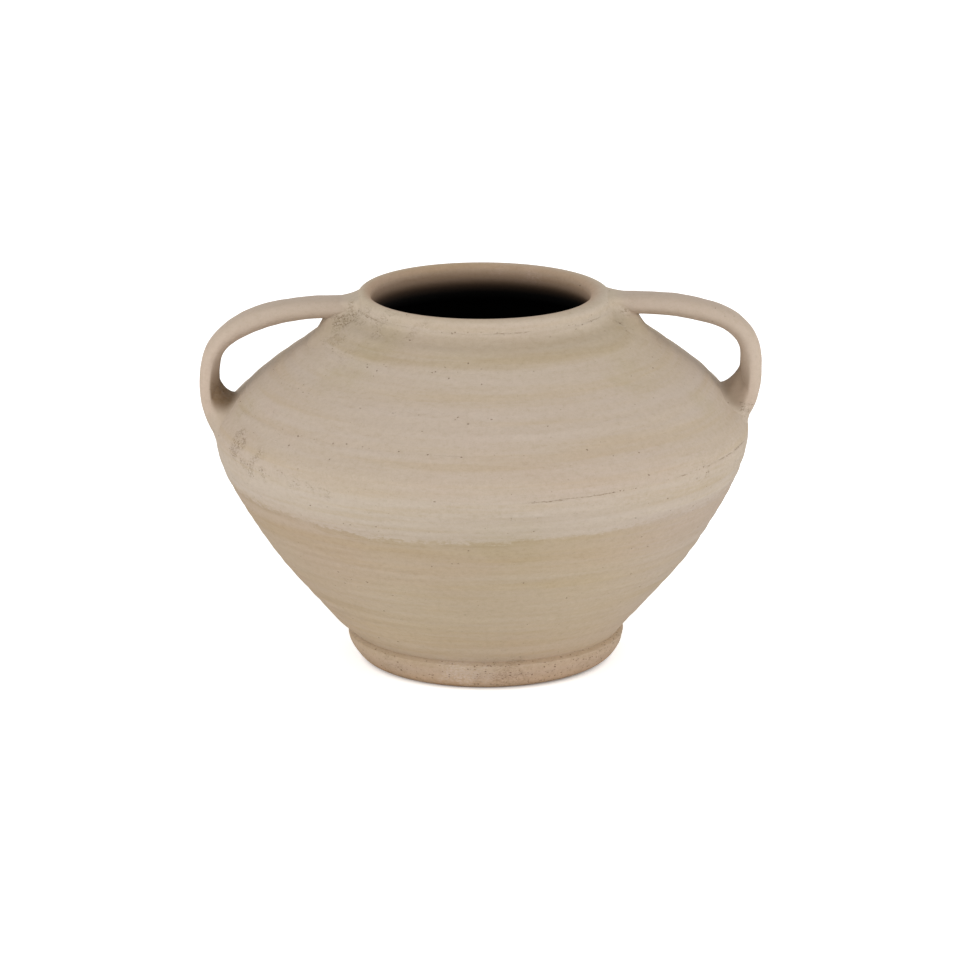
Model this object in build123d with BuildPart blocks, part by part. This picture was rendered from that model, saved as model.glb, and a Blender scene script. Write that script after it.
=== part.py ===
from build123d import *
import os
from math import cos, radians, sin

# A wide low jar of thrown clay on a foot ring, with two pulled strap handles.
# Millimetres, +Z up, the foot stands on Z = 0 and the handles lie along X.
# The origin is where the jar's axis meets the ground.

# Thrown wall: its thickness, and the widest, narrowest and joining radii outside
wall = 9.0
belly_radius = 199.0
neck_radius = 123.8
mouth_radius = 83.6
lip_radius = 5.6
rim_flare = 2.4

# How high each thrown section stands
foot_height = 19.7
bowl_rise = 154.8
shoulder_rise = 72.0
neck_rise = 21.8
rim_rise = 10.7

# Slope of the wall above level where the sections meet, in degrees
bowl_pitch = 44.0
shoulder_pitch = 35.0
neck_pitch = 70.0

# Foot ring and floor
foot_radius = 103.3
foot_taper = 6.4
foot_swell = 2.0
foot_edge = 1.5
foot_crease = 3.6
foot_land = 8.7
floor_ledge = 9.0
floor_thickness = 11.7

# Luted seams
belly_bevel = 4.0
rim_bevel = 2.4
throat_land = 3.4
seam_coil_height = 26.0
seam_coil_bulge = 5.0

# Strap handles: section, how deep they start inside the rim, reach past the belly, and
# drop of their upper face below the lip
strap_width = 27.0
strap_thickness = 15.6
strap_inset = 9.0
left_stand = 5.4
left_drop = 4.8
right_stand = 0.1
right_drop = 1.7

# Clay pressed round the handle ends: its thin edge, how far it runs along the strap past
# the wall, and how thick it is at the wall beside the strap and on its two faces
wad_edge = 0.6
upper_wad_reach = 9.0
upper_wad_side = 6.0
upper_wad_inner = 4.0
lower_wad_reach = 14.0
lower_wad_side = 6.0
lower_wad_inner = 6.0
lower_wad_outer = 0.8

# Outline points, as shares of the way out and of the way up between a section's ends
bowl_shares = ((0.235, 0.163), (0.611, 0.454), (0.882, 0.745))
shoulder_shares = ((0.165, 0.285), (0.42, 0.545), (0.75, 0.806))
neck_shares = ((0.66, 0.64),)
inside_shares = (0.2, 0.4, 0.6, 0.8)

# Where the handles come down, as shares of the way along the shoulder's outline
left_root_share = 0.04
right_root_share = 0.09

# Clay round the handle ends: shares of the depth inside the wall, of the reach along the
# strap and of the thickness at the wall. At the lip it fills a share of the upper drop.
wad_shares = ((0, 0, 1), (0.5, 0, 1), (1, 0, 0.9), (1, 0.35, 0.45), (1, 0.7, 0.15), (1, 1, 0))
upper_wad_lip_share = 0.5

# Centre lines of the handles: shares of the way out from the lip, and up from the root
left_path_shares = (
    (0.39, 0.983),
    (0.669, 0.903),
    (0.871, 0.767),
    (0.973, 0.603),
    (1.0, 0.411),
    (0.986, 0.212),
    (0.933, 0.0),
    (0.86, -0.14),
    (0.78, -0.23),
)
right_path_shares = (
    (0.381, 0.991),
    (0.658, 0.936),
    (0.85, 0.842),
    (0.967, 0.691),
    (1.0, 0.491),
    (0.982, 0.232),
    (0.925, 0.04),
    (0.83, -0.09),
    (0.72, -0.17),
)

# Sections of the straps: shares of the centre line, of the width and of the thickness
left_strap_shares = (
    (0.0, 1.1, 1.02),
    (0.12, 1.06, 1.0),
    (0.3, 1.0, 1.04),
    (0.45, 0.97, 1.02),
    (0.58, 0.95, 0.88),
    (0.7, 1.0, 0.92),
    (0.82, 1.1, 1.06),
    (0.92, 1.18, 1.15),
    (1.0, 1.2, 1.15),
)
right_strap_shares = (
    (0.0, 1.1, 1.04),
    (0.12, 1.04, 1.0),
    (0.3, 0.98, 1.03),
    (0.45, 0.96, 1.0),
    (0.58, 0.97, 0.98),
    (0.7, 1.02, 1.1),
    (0.82, 1.1, 1.15),
    (0.92, 1.16, 1.12),
    (1.0, 1.16, 1.1),
)


def between(start, end, share_out, share_up):
    """The point a share of the way out and a share of the way up from start to end."""
    return (
        start[0] + share_out * (end[0] - start[0]),
        start[1] + share_up * (end[1] - start[1]),
    )


def rising(pitch):
    """The direction up and in towards the axis, pitch degrees above level."""
    return (-cos(radians(pitch)), sin(radians(pitch)))


def strap_size(table, share):
    """The strap's width and thickness at a share of the way along its centre line."""
    for (low, *first), (high, *last) in zip(table, table[1:]):
        if share <= high:
            part = (share - low) / (high - low)
            width_share, thickness_share = [a + part * (b - a) for a, b in zip(first, last)]
            return width_share * strap_width, thickness_share * strap_thickness


def inset(outline, depth, share):
    """The point this deep inside the clay, a share of the way along an outline."""
    point, along = outline @ share, outline % share
    return (point.X - depth * along.Y, point.Y + depth * along.X)


# Heights of the seams, and the key points of the wall as (radius, height)
belly_height = foot_height + bowl_rise
neck_height = belly_height + shoulder_rise
rim_seam_height = neck_height + neck_rise
jar_height = rim_seam_height + rim_rise
foot_seat = (foot_radius - foot_crease, foot_height)
belly = (belly_radius, belly_height)
neck = (neck_radius, neck_height)
lip_height = jar_height - lip_radius
lip_inside = (mouth_radius, lip_height)
lip_top = (mouth_radius + lip_radius, jar_height)
lip_side = (mouth_radius + 2 * lip_radius, lip_height)
rim_seam = (lip_side[0] + rim_flare, rim_seam_height)
throat_top = (mouth_radius, rim_seam_height - rim_bevel)
throat_foot = (mouth_radius, rim_seam_height - rim_bevel - throat_land)

# Outer outline of each thrown section, with the radius across and the height up
with BuildLine() as bowl_outline:
    Spline(
        foot_seat,
        *[between(foot_seat, belly, *shares) for shares in bowl_shares],
        belly,
        tangents=[(cos(radians(bowl_pitch)), sin(radians(bowl_pitch))), (0, 1)],
    )
bowl_line = bowl_outline.line

with BuildLine() as shoulder_outline:
    Spline(
        belly,
        *[between(belly, neck, *shares) for shares in shoulder_shares],
        neck,
        tangents=[(0, 1), rising(shoulder_pitch)],
    )
shoulder_line = shoulder_outline.line

with BuildLine() as neck_outline:
    Spline(
        neck,
        *[between(neck, rim_seam, *shares) for shares in neck_shares],
        rim_seam,
        tangents=[rising(shoulder_pitch), rising(neck_pitch)],
    )
neck_line = neck_outline.line

with BuildLine() as rim_outline:
    Spline(rim_seam, lip_side, tangents=[rising(neck_pitch), (0, 1)])
rim_line = rim_outline.line

# Inner ends of the bevelled seams, and the points of the inner wall between them
floor_inside = (inset(bowl_line, wall, 0)[0], foot_height)
belly_inside = (belly_radius - wall, belly_height - belly_bevel)
neck_inside = inset(shoulder_line, wall, 1)
bowl_inside = [inset(bowl_line, wall, share) for share in inside_shares]
shoulder_inside = [inset(shoulder_line, wall, share) for share in inside_shares]

# Foot ring: a turned coil with a ledge inside that the floor rests on
floor_radius = foot_seat[0] - foot_land
floor_bottom = foot_height - floor_thickness
with BuildPart() as foot_ring:
    with BuildSketch(Plane.YZ):
        with BuildLine():
            toe = (foot_radius - foot_taper, 0)
            waist = (foot_radius - foot_taper / 2 + foot_swell, foot_height / 2)
            brow = (foot_radius, foot_height)
            ThreePointArc(toe, waist, brow)
            Polyline(
                brow,
                (floor_radius, foot_height),
                (floor_radius, floor_bottom),
                (floor_radius - floor_ledge, floor_bottom),
                (floor_radius - floor_ledge, 0),
                toe,
            )
        make_face()
    revolve(axis=Axis.Z)
    brow_edge = foot_ring.edges().filter_by(GeomType.CIRCLE).sort_by(SortBy.RADIUS)[-1]
    fillet(brow_edge, radius=foot_edge)
foot_ring.part.label = "foot_ring"

# Floor: a flat slab let into the foot ring
with BuildPart() as base_slab:
    with BuildSketch(Plane.XY.offset(floor_bottom)):
        Circle(floor_radius)
    extrude(amount=floor_thickness)
base_slab.part.label = "base_slab"

# Lower bowl: from the foot to the bevelled seam at the widest point
with BuildPart() as lower_bowl:
    with BuildSketch(Plane.YZ) as bowl_profile:
        with BuildLine():
            add(bowl_line)
            Line(belly, belly_inside)
            Spline(belly_inside, *reversed(bowl_inside), floor_inside)
            Line(floor_inside, foot_seat)
        make_face()
    revolve(axis=Axis.Z)
lower_bowl.part.label = "lower_bowl"

# Shoulder: a dome from the belly seam to the neck
with BuildPart() as shoulder:
    with BuildSketch(Plane.YZ) as shoulder_profile:
        with BuildLine():
            add(shoulder_line)
            Line(neck, neck_inside)
            Spline(neck_inside, *reversed(shoulder_inside), belly_inside)
            Line(belly_inside, belly)
        make_face()
    revolve(axis=Axis.Z)
shoulder.part.label = "shoulder"

# Neck: a short hollow curve from the shoulder up to the rim
with BuildPart() as neck_collar:
    with BuildSketch(Plane.YZ):
        with BuildLine():
            add(neck_line)
            Polyline(rim_seam, throat_top, throat_foot)
            falling = (cos(radians(shoulder_pitch)), -sin(radians(shoulder_pitch)))
            Spline(throat_foot, neck_inside, tangents=[(0, -1), falling])
            Line(neck_inside, neck)
        make_face()
    revolve(axis=Axis.Z)
neck_collar.part.label = "neck_collar"

# Rim: a rolled lip on the neck
with BuildPart() as rim_coil:
    with BuildSketch(Plane.YZ):
        with BuildLine():
            add(rim_line)
            ThreePointArc(lip_side, lip_top, lip_inside)
            Polyline(lip_inside, throat_top, rim_seam)
        make_face()
    revolve(axis=Axis.Z)
rim_coil.part.label = "rim_coil"

# Seam coil: a flattened coil pressed over the inside of the belly seam
with BuildPart() as belly_seam_coil:
    with BuildSketch(Plane.YZ):
        with Locations(belly_inside):
            Ellipse(seam_coil_bulge, seam_coil_height / 2)
        add(bowl_profile.sketch_local, mode=Mode.SUBTRACT)
        add(shoulder_profile.sketch_local, mode=Mode.SUBTRACT)
    revolve(axis=Axis.Z)
belly_seam_coil.part.label = "belly_seam_coil"

# The jar's outer form without its hollow, which the handle ends are cut to fit
with BuildPart() as outer_form:
    with BuildSketch(Plane.YZ):
        with BuildLine():
            Line((0, foot_height), foot_seat)
            add(bowl_line)
            add(shoulder_line)
            add(neck_line)
            add(rim_line)
            RadiusArc(lip_side, lip_top, -lip_radius)
            Polyline(lip_top, (0, jar_height), (0, foot_height))
        make_face()
    revolve(axis=Axis.Z)

# Each handle: its side, reach, drop and root, then its centre line and its sections
handles = (
    ("left", -1, left_stand, left_drop, left_root_share),
    ("right", 1, right_stand, right_drop, right_root_share),
)
path_tables = {"left": left_path_shares, "right": right_path_shares}
strap_tables = {"left": left_strap_shares, "right": right_strap_shares}

jar = [foot_ring, base_slab, lower_bowl, belly_seam_coil, shoulder, neck_collar, rim_coil]
for name, side, stand, drop, root_share in handles:
    # The strap, pulled from inside the neck out and down into the wall
    top_height = jar_height - drop - strap_thickness / 2
    root_height = (shoulder_line @ root_share).Y
    start = (side * (lip_side[0] - strap_inset), top_height)
    inner = (side * lip_side[0], root_height)
    outer = (side * (belly_radius + stand), top_height)
    with BuildLine(Plane.XZ) as centre_line:
        Spline(start, *[between(inner, outer, *shares) for shares in path_tables[name]])
    path = centre_line.edge()

    with BuildPart() as handle:
        for along, width_share, thickness_share in strap_tables[name]:
            with BuildSketch(Plane(path @ along, x_dir=(0, 1, 0), z_dir=path % along)):
                Ellipse(width_share * strap_width / 2, thickness_share * strap_thickness / 2)
        loft()
        add(outer_form.part, mode=Mode.SUBTRACT)
    handle.part.label = f"{name}_handle"
    jar.append(handle)

    # The clay pressed round its two ends, from inside the wall to a thin edge on the strap.
    # Lines down the strap's under face say how far along each end is clear of the wall.
    below = path.moved(Location((0, 0, -strap_thickness / 2)))
    behind = path.moved(Location((-side * strap_thickness / 2, 0, 0)))
    upper_depth = below.intersect(outer_form.part).edges().sort_by_distance(below @ 0)[0].length
    lower_depth = behind.intersect(outer_form.part).edges().sort_by_distance(behind @ 1)[0].length
    upper_over = upper_wad_lip_share * drop
    wads = (
        ("upper", 0, 1, upper_depth, upper_wad_reach, upper_wad_side, upper_wad_inner, upper_over),
        ("lower", 1, -1, lower_depth, lower_wad_reach, lower_wad_side, lower_wad_inner, lower_wad_outer),
    )
    for end, tip, way, depth, reach, beside, under, over in wads:
        with BuildPart() as wad:
            for depth_share, reach_share, thick_share in wad_shares:
                along = tip + way * (depth_share * depth + reach_share * reach) / path.length
                width, thickness = strap_size(strap_tables[name], along)
                beside_here, under_here, over_here = [
                    wad_edge + thick_share * (thick - wad_edge) for thick in (beside, under, over)
                ]
                with BuildSketch(Plane(path @ along, x_dir=(0, 1, 0), z_dir=path % along)):
                    with Locations((0, side * (over_here - under_here) / 2)):
                        Ellipse(width / 2 + beside_here, (thickness + over_here + under_here) / 2)
            loft()
            add(outer_form.part, mode=Mode.SUBTRACT)
            add(handle.part, mode=Mode.SUBTRACT)
        wad.part.label = f"{name}_{end}_wad"
        jar.append(wad)

os.makedirs("parts", exist_ok=True)
for piece in jar:
    export_step(piece.part, f"parts/{piece.part.label}.step")
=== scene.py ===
import logging
import math
from dataclasses import dataclass, field
from enum import Enum
from functools import reduce
from typing import Any

import bpy
import numpy as np
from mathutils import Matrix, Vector


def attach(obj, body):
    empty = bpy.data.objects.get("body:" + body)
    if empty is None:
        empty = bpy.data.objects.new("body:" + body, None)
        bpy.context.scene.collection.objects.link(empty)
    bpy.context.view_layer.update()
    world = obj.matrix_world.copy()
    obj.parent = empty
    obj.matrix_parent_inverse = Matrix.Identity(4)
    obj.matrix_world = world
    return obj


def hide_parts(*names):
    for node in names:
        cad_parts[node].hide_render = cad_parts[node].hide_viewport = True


# A wide low jar of pale unglazed clay with two strap handles, on a white studio floor.
# Shapes are worked out in millimetres in the frame of the CAD model and scaled to metres
# when a mesh is made. +Z is up, X runs through both handles, the photographed side faces -Y.

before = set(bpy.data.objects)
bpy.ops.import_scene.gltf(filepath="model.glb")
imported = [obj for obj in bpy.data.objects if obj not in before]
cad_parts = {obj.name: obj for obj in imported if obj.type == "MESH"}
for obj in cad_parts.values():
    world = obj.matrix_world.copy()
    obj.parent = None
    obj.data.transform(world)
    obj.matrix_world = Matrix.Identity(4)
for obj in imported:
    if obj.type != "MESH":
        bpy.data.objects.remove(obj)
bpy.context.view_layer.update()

LOG = logging.getLogger("olla")
MM = 0.001
FULL_TURN = 2 * math.pi
Points = np.ndarray
# The screen's curve: its knee, the slope below it, and the offset and power above it
KNEE, SLOPE, OFFSET, POWER = 0.04045, 12.92, 0.055, 2.4
# Lengths shorter than these count as nothing, in a division and in millimetres
NOTHING, SPECK = 1e-9, 1e-6
UPRIGHT, ACROSS = np.array([0.0, 0.0, 1.0]), np.array([0.0, 1.0, 0.0])
# Points along the first, fine form of an outline, of the rim's side, the lip and the drift
OUTLINE_POINTS, RIM_POINTS, LIP_POINTS, DRIFT_POINTS = 240, 40, 41, 300
# A mesh is creased where its faces meet at more degrees than this
CREASE = 50.0
# Streaks round the wall are this many times as long as they are high
FLOW_LENGTH = 14.0


def paint(red: float, green: float, blue: float) -> tuple[float, float, float, float]:
    """A colour written as screen values from 0 to 255, as the linear colour a shader takes.

    Args:
        red: screen value of red.
        green: screen value of green.
        blue: screen value of blue.

    Returns:
        The linear colour with an alpha of 1.
    """
    linear = []
    for value in (red / 255, green / 255, blue / 255):
        linear.append(value / SLOPE if value <= KNEE else ((value + OFFSET) / (1 + OFFSET)) ** POWER)
    return (*linear, 1.0)


def ease(value: Points, low: float, high: float) -> Points:
    """A smooth step of value from 0 at low to 1 at high."""
    share = np.clip((value - low) / (high - low), 0, 1)
    return share * share * (3 - 2 * share)


def hump(value: Points, middle: float, half_width: float) -> Points:
    """A smooth hump that is 1 where value is middle and fades over about half_width."""
    return np.exp(-(((value - middle) / half_width) ** 2))


def smooth_line(
    points: Any,
    start: tuple[float, ...] | None = None,
    end: tuple[float, ...] | None = None,
    count: int = 200,
) -> Points:
    """A cubic line through points, with its parameter in step with the distance between them.

    Args:
        points: the points to pass through, in order.
        start: the unit direction at the first point, or None to leave it free.
        end: the unit direction at the last point, or None to leave it free.
        count: how many points to return.

    Returns:
        An array with one row for each point along the line.
    """
    knots = np.asarray(points, float)
    at = np.r_[0, np.cumsum(np.linalg.norm(np.diff(knots, axis=0), axis=1))]
    gap = np.diff(at)
    slope = np.diff(knots, axis=0) / gap[:, None]
    last = len(knots) - 1
    matrix = np.zeros((last + 1, last + 1))
    right = np.zeros(knots.shape)
    for i in range(1, last):
        matrix[i, i - 1 : i + 2] = gap[i - 1], 2 * (gap[i - 1] + gap[i]), gap[i]
        right[i] = 6 * (slope[i] - slope[i - 1])
    matrix[0, 0] = matrix[last, last] = 1
    if start is not None:
        matrix[0, :2] = 2 * gap[0], gap[0]
        right[0] = 6 * (slope[0] - np.asarray(start))
    if end is not None:
        matrix[last, -2:] = gap[-1], 2 * gap[-1]
        right[last] = 6 * (np.asarray(end) - slope[-1])
    bend = np.linalg.solve(matrix, right)
    along = np.linspace(0, at[-1], count)
    k = np.clip(np.searchsorted(at, along, side="right") - 1, 0, last - 1)
    before, after = (along - at[k])[:, None], (at[k + 1] - along)[:, None]
    width = gap[k][:, None]
    return (
        bend[k] * after**3 / (6 * width)
        + bend[k + 1] * before**3 / (6 * width)
        + (knots[k] / width - bend[k] * width / 6) * after
        + (knots[k + 1] / width - bend[k + 1] * width / 6) * before
    )


def arc_lengths(line: Points) -> Points:
    """The distance along a line at each of its points."""
    return np.r_[0, np.cumsum(np.linalg.norm(np.diff(line, axis=0), axis=1))]


def respaced(line: Points, count: int) -> Points:
    """The same line with evenly spaced points.

    Args:
        line: the line's points.
        count: how many points to return.

    Returns:
        The new points.
    """
    at = arc_lengths(line)
    wanted = np.linspace(0, at[-1], count)
    return np.stack([np.interp(wanted, at, column) for column in line.T], axis=1)


def unit(vectors: Points) -> Points:
    """The vectors, each scaled to a length of one."""
    return vectors / np.maximum(np.linalg.norm(vectors, axis=-1, keepdims=True), NOTHING)


def turned(radius: Points, turn: Points, height: Points) -> Points:
    """The points at radii and angles round the jar's axis, and heights up it."""
    return np.stack([radius * np.cos(turn), radius * np.sin(turn), height], axis=-1)


@dataclass
class Unevenness:
    """The slow unevenness of hand-thrown clay, as a seeded sum of waves.

    Attributes:
        seed: picks the waves.
        most_round: most waves round the jar.
        shortest: shortest wave up the wall.
        longest: longest wave up the wall.
        waves: how many waves are summed.
    """

    seed: int
    most_round: int
    shortest: float
    longest: float
    waves: int = 14

    def __post_init__(self) -> None:
        """Draws the waves."""
        draw = np.random.default_rng(self.seed)
        self.rounds = draw.integers(0, self.most_round + 1, self.waves) * draw.choice([-1, 1], self.waves)
        self.rises = FULL_TURN / draw.uniform(self.shortest, self.longest, self.waves)
        self.phases = draw.uniform(0, FULL_TURN, self.waves)

    def at(self, turn: Points, height: Points) -> Points:
        """The unevenness at places round the jar.

        Args:
            turn: angles round the jar.
            height: heights up it, in millimetres.

        Returns:
            Numbers from about -1 to 1.
        """
        total = np.zeros(np.broadcast(turn, height).shape)
        for rounds, rise, phase in zip(self.rounds, self.rises, self.phases):
            total += np.sin(rounds * turn + rise * height + phase)
        return total / math.sqrt(self.waves)


@dataclass
class JarForm:
    """The thrown form that every piece follows: outlines in (radius, height), and the hand's drift.

    The sizes down to the seam coil and the shares of the outlines are those of the CAD model. The
    worn foot, the mouth's drift and what follows them are the hand's, and only here.
    """

    wall: float = 9.0
    belly_radius: float = 199.0
    neck_radius: float = 123.8
    mouth_radius: float = 83.6
    lip_radius: float = 5.6
    rim_flare: float = 2.4
    foot_height: float = 19.7
    bowl_rise: float = 154.8
    shoulder_rise: float = 72.0
    neck_rise: float = 21.8
    rim_rise: float = 10.7
    bowl_pitch: float = 44.0
    shoulder_pitch: float = 35.0
    neck_pitch: float = 70.0
    foot_radius: float = 103.3
    foot_crease: float = 3.6
    foot_land: float = 8.7
    floor_ledge: float = 9.0
    floor_thickness: float = 11.7
    belly_bevel: float = 4.0
    rim_bevel: float = 2.4
    throat_land: float = 3.4
    seam_coil_height: float = 26.0
    seam_coil_bulge: float = 5.0
    # Where each section's outline passes, as shares of the way from its start to its end
    bowl_shares: tuple = ((0.235, 0.163), (0.611, 0.454), (0.882, 0.745))
    shoulder_shares: tuple = ((0.165, 0.285), (0.42, 0.545), (0.75, 0.806))
    neck_shares: tuple = ((0.66, 0.64),)
    # The foot ring's worn face, as (distance inside the brow, height)
    foot_face: tuple = (
        ((9.0, 0.3), (7.4, 1.2), (5.2, 3.0), (3.3, 5.5))
        + ((1.7, 10.0), (0.3, 15.0), (-0.2, 18.2))
    )
    # How much the foot is worn at its two sides rather than at the front, and up to what height
    foot_oval: float = 2.0
    foot_worn: float = 13.0
    # How far the mouth sits to -X of the rim, how much the lip closes it, and where both begin
    mouth_drift: float = 2.5
    mouth_close: float = 1.5
    mouth_begins: tuple[float, float] = (252.0, 268.0)
    # How much lower the lip is at the front, where that begins, and how far behind the axis
    front_dip: float = 0.9
    dip_begins: float = 262.0
    dip_behind: float = 20.0
    # Where the wall is fuller than the solids, as (height, half width, how much)
    fuller: tuple = ((238.0, 12.0, 0.3), (112.0, 22.0, -0.9), (25.0, 4.0, -0.5))
    # Slow waves round the wall, as (how many, phase, rise that turns one by a radian, size)
    waves: tuple = ((2, 0.6, 90.0, 0.35), (3, 0.0, 60.0, 0.2))
    # Nearer to the axis than this, what moves the wall fades
    core: float = 40.0
    # How far the hand-made jar drifts to +X at some heights, as (height, drift)
    drift: tuple = (
        ((0.0, 1.6), (4.0, 2.5), (10.0, 2.4), (15.0, 2.0), (20.0, 2.1), (27.0, 0.3), (40.0, -0.5))
        + ((60.0, -0.3), (100.0, -0.3), (120.0, -0.6), (145.0, -1.3), (172.0, -1.0), (200.0, 0.2))
        + ((236.0, 1.3), (279.0, 0.8))
    )

    def __post_init__(self) -> None:
        """Works out the outlines."""
        self.belly_height = self.foot_height + self.bowl_rise
        self.neck_height = self.belly_height + self.shoulder_rise
        self.rim_seam_height = self.neck_height + self.neck_rise
        self.height = self.rim_seam_height + self.rim_rise
        self.lip_height = self.height - self.lip_radius
        self.lip_side = self.mouth_radius + 2 * self.lip_radius
        seat = (self.foot_radius - self.foot_crease, self.foot_height)
        belly = (self.belly_radius, self.belly_height)
        neck = (self.neck_radius, self.neck_height)
        seam = (self.lip_side + self.rim_flare, self.rim_seam_height)
        pitch = math.radians(self.bowl_pitch)
        self.bowl = self._section(seat, belly, self.bowl_shares, (math.cos(pitch), math.sin(pitch)), (0, 1))
        rising, steeper = self._rising(self.shoulder_pitch), self._rising(self.neck_pitch)
        self.shoulder = self._section(belly, neck, self.shoulder_shares, (0, 1), rising)
        self.neck = self._section(neck, seam, self.neck_shares, rising, steeper)
        side = (self.lip_side, self.lip_height)
        self.rim = smooth_line([seam, side], steeper, (0, 1), RIM_POINTS)
        turns = np.linspace(0, math.pi, LIP_POINTS)
        arc = self.lip_radius * np.stack([np.cos(turns), np.sin(turns)], axis=1)
        self.lip = arc + (self.mouth_radius + self.lip_radius, self.lip_height)
        sections = [line[:-1] for line in (self.bowl, self.shoulder, self.neck, self.rim)]
        self.outer = np.concatenate([*sections, self.lip[: len(self.lip) // 2 + 1]])
        self.outer_at = arc_lengths(self.outer)
        self._drift_heights, self._drifts = smooth_line(self.drift, count=DRIFT_POINTS).T

    @staticmethod
    def _rising(pitch: float) -> tuple[float, float]:
        """The direction up and in towards the axis, pitch degrees above level."""
        return (-math.cos(math.radians(pitch)), math.sin(math.radians(pitch)))

    @staticmethod
    def _section(start: tuple, end: tuple, shares: tuple, first: tuple, last: tuple) -> Points:
        """One thrown section's outline, through points that are shares of the way from start to end."""
        between = np.add(start, np.array(shares) * np.subtract(end, start))
        return smooth_line([start, *between, end], first, last, OUTLINE_POINTS)

    def inner_line(self, outline: Points) -> Points:
        """The line one wall thickness inside an outline."""
        along = unit(np.gradient(outline, axis=0))
        return outline + self.wall * np.stack([-along[:, 1], along[:, 0]], axis=1)

    def radius_at(self, height: Points) -> Points:
        """The wall's outer radius at a height."""
        return np.interp(height, self.outer[:, 1], self.outer[:, 0])

    def outside(self, points: Points) -> Points:
        """How far points are outside the wall, measured level."""
        return np.hypot(points[..., 0], points[..., 1]) - self.radius_at(points[..., 2])

    def on_wall(self, along: Points, turn: Points) -> Points:
        """Points on the outer wall.

        Args:
            along: distances up its outline.
            turn: angles round the axis.

        Returns:
            The points, in millimetres.
        """
        radius = np.interp(along, self.outer_at, self.outer[:, 0])
        return turned(radius, turn, np.interp(along, self.outer_at, self.outer[:, 1]))

    def wall_frame(self, height: Points, turn: Points) -> tuple[Points, Points, Points]:
        """The wall's outward normal, its uphill direction and its level direction at a place.

        Args:
            height: heights on the outer wall.
            turn: angles round the axis.

        Returns:
            Three arrays of unit vectors.
        """
        along = np.interp(height, self.outer[:, 1], self.outer_at)
        steps = unit(np.gradient(self.outer, axis=0))
        out = np.interp(along, self.outer_at, steps[:, 0])
        up = np.interp(along, self.outer_at, steps[:, 1])
        level = np.stack([-np.sin(turn), np.cos(turn), np.zeros_like(turn)], axis=-1)
        radial = np.stack([np.cos(turn), np.sin(turn), np.zeros_like(turn)], axis=-1)
        uphill = unit(out[..., None] * radial + up[..., None] * UPRIGHT)
        normal = unit(up[..., None] * radial - out[..., None] * UPRIGHT)
        return normal, uphill, level

    def drifted(self, points: Points) -> Points:
        """Moves points as the hand-made jar drifts from a true circle round one axis.

        Args:
            points: the points, in millimetres.

        Returns:
            The moved points.
        """
        moved = points.copy()
        side, back, height = points[..., 0], points[..., 1], points[..., 2]
        turn = np.arctan2(back, side)
        grown = sum(size * hump(height, middle, half_width) for middle, half_width, size in self.fuller)
        for count, phase, rise, size in self.waves:
            grown = grown + size * np.sin(count * turn + phase + height / rise)
        grown = grown - self.foot_oval * np.cos(2 * turn) * (1 - ease(height, 0, self.foot_worn))
        radius = np.maximum(np.hypot(side, back), SPECK)
        mouth = (1 - ease(radius, self.mouth_radius, self.lip_side)) * ease(height, *self.mouth_begins)
        grown = grown * np.minimum(radius / self.mouth_radius, 1) - self.mouth_close * mouth
        scale = 1 + grown / np.maximum(radius, self.core)
        moved[..., 0] = side * scale + np.interp(height, self._drift_heights, self._drifts)
        moved[..., 0] -= self.mouth_drift * mouth
        moved[..., 1] = back * scale
        front = ease(-back, -self.dip_behind, self.mouth_radius) * ease(height, self.dip_begins, self.height)
        moved[..., 2] -= self.front_dip * front
        return moved


@dataclass
class Tooling:
    """The marks that throwing, scraping and joining leave in the outer wall, as heights above it."""

    ribs: Unevenness = field(default_factory=lambda: Unevenness(11, 2, 6.0, 15.0))
    swells: Unevenness = field(default_factory=lambda: Unevenness(23, 3, 45.0, 140.0))
    breaks: Unevenness = field(default_factory=lambda: Unevenness(31, 23, 60.0, 200.0))
    rib_height: float = 0.13
    swell_height: float = 0.22
    # The band of slip: how thick it is, and the heights between which it begins and ends
    slip: float = 0.22
    slip_begins: tuple[float, float] = (139.0, 141.2)
    slip_ends: tuple[float, float] = (166.0, 173.0)
    # How much of a line is kept, and how much that varies
    kept: float = 0.65
    patchy: float = 0.5
    # Lines cut round the wall: height, rise towards +X, depth, half width and the side that keeps it
    lines: tuple = (
        (169.0, 4.0, 0.28, 0.9, 0.1),
        (200.0, 0.5, 0.2, 1.1, -0.8),
        (246.4, 0.3, 0.2, 0.9, -0.5),
        (256.0, 0.4, 0.3, 2.0, -0.2),
        (261.4, 0.3, 0.4, 1.6, 0.0),
        (269.6, 0.0, 0.25, 0.9, 0.0),
        (222.0, -1.0, 0.14, 1.3, 0.0),
        (118.0, 1.0, 0.16, 1.5, 0.3),
        (84.0, 1.2, 0.2, 1.6, -0.4),
    )

    def relief(self, turn: Points, height: Points) -> Points:
        """How far the outer wall stands above its plain form.

        Args:
            turn: angles round the axis.
            height: heights up the wall, in millimetres.

        Returns:
            Heights above the plain form, in millimetres.
        """
        rise = self.rib_height * self.ribs.at(turn, height) + self.swell_height * self.swells.at(turn, height)
        rise = rise + self.slip * ease(height, *self.slip_begins) * (1 - ease(height, *self.slip_ends))
        patchy = self.patchy * self.breaks.at(turn, height)
        for place, tilt, depth, half_width, side in self.lines:
            kept = np.clip(self.kept + side * np.cos(turn) + patchy, 0, 1)
            rise = rise - depth * kept * hump(height, place + tilt * np.cos(turn), half_width)
        return rise


class Tone(Enum):
    """What a mesh says about its points, for the finishes to read."""

    HOLLOW = "hollow"
    # Painted shade on the handles' inner facets and in the pockets at their lower roots
    STAIN = "stain"
    JOINED = "joined"


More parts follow.
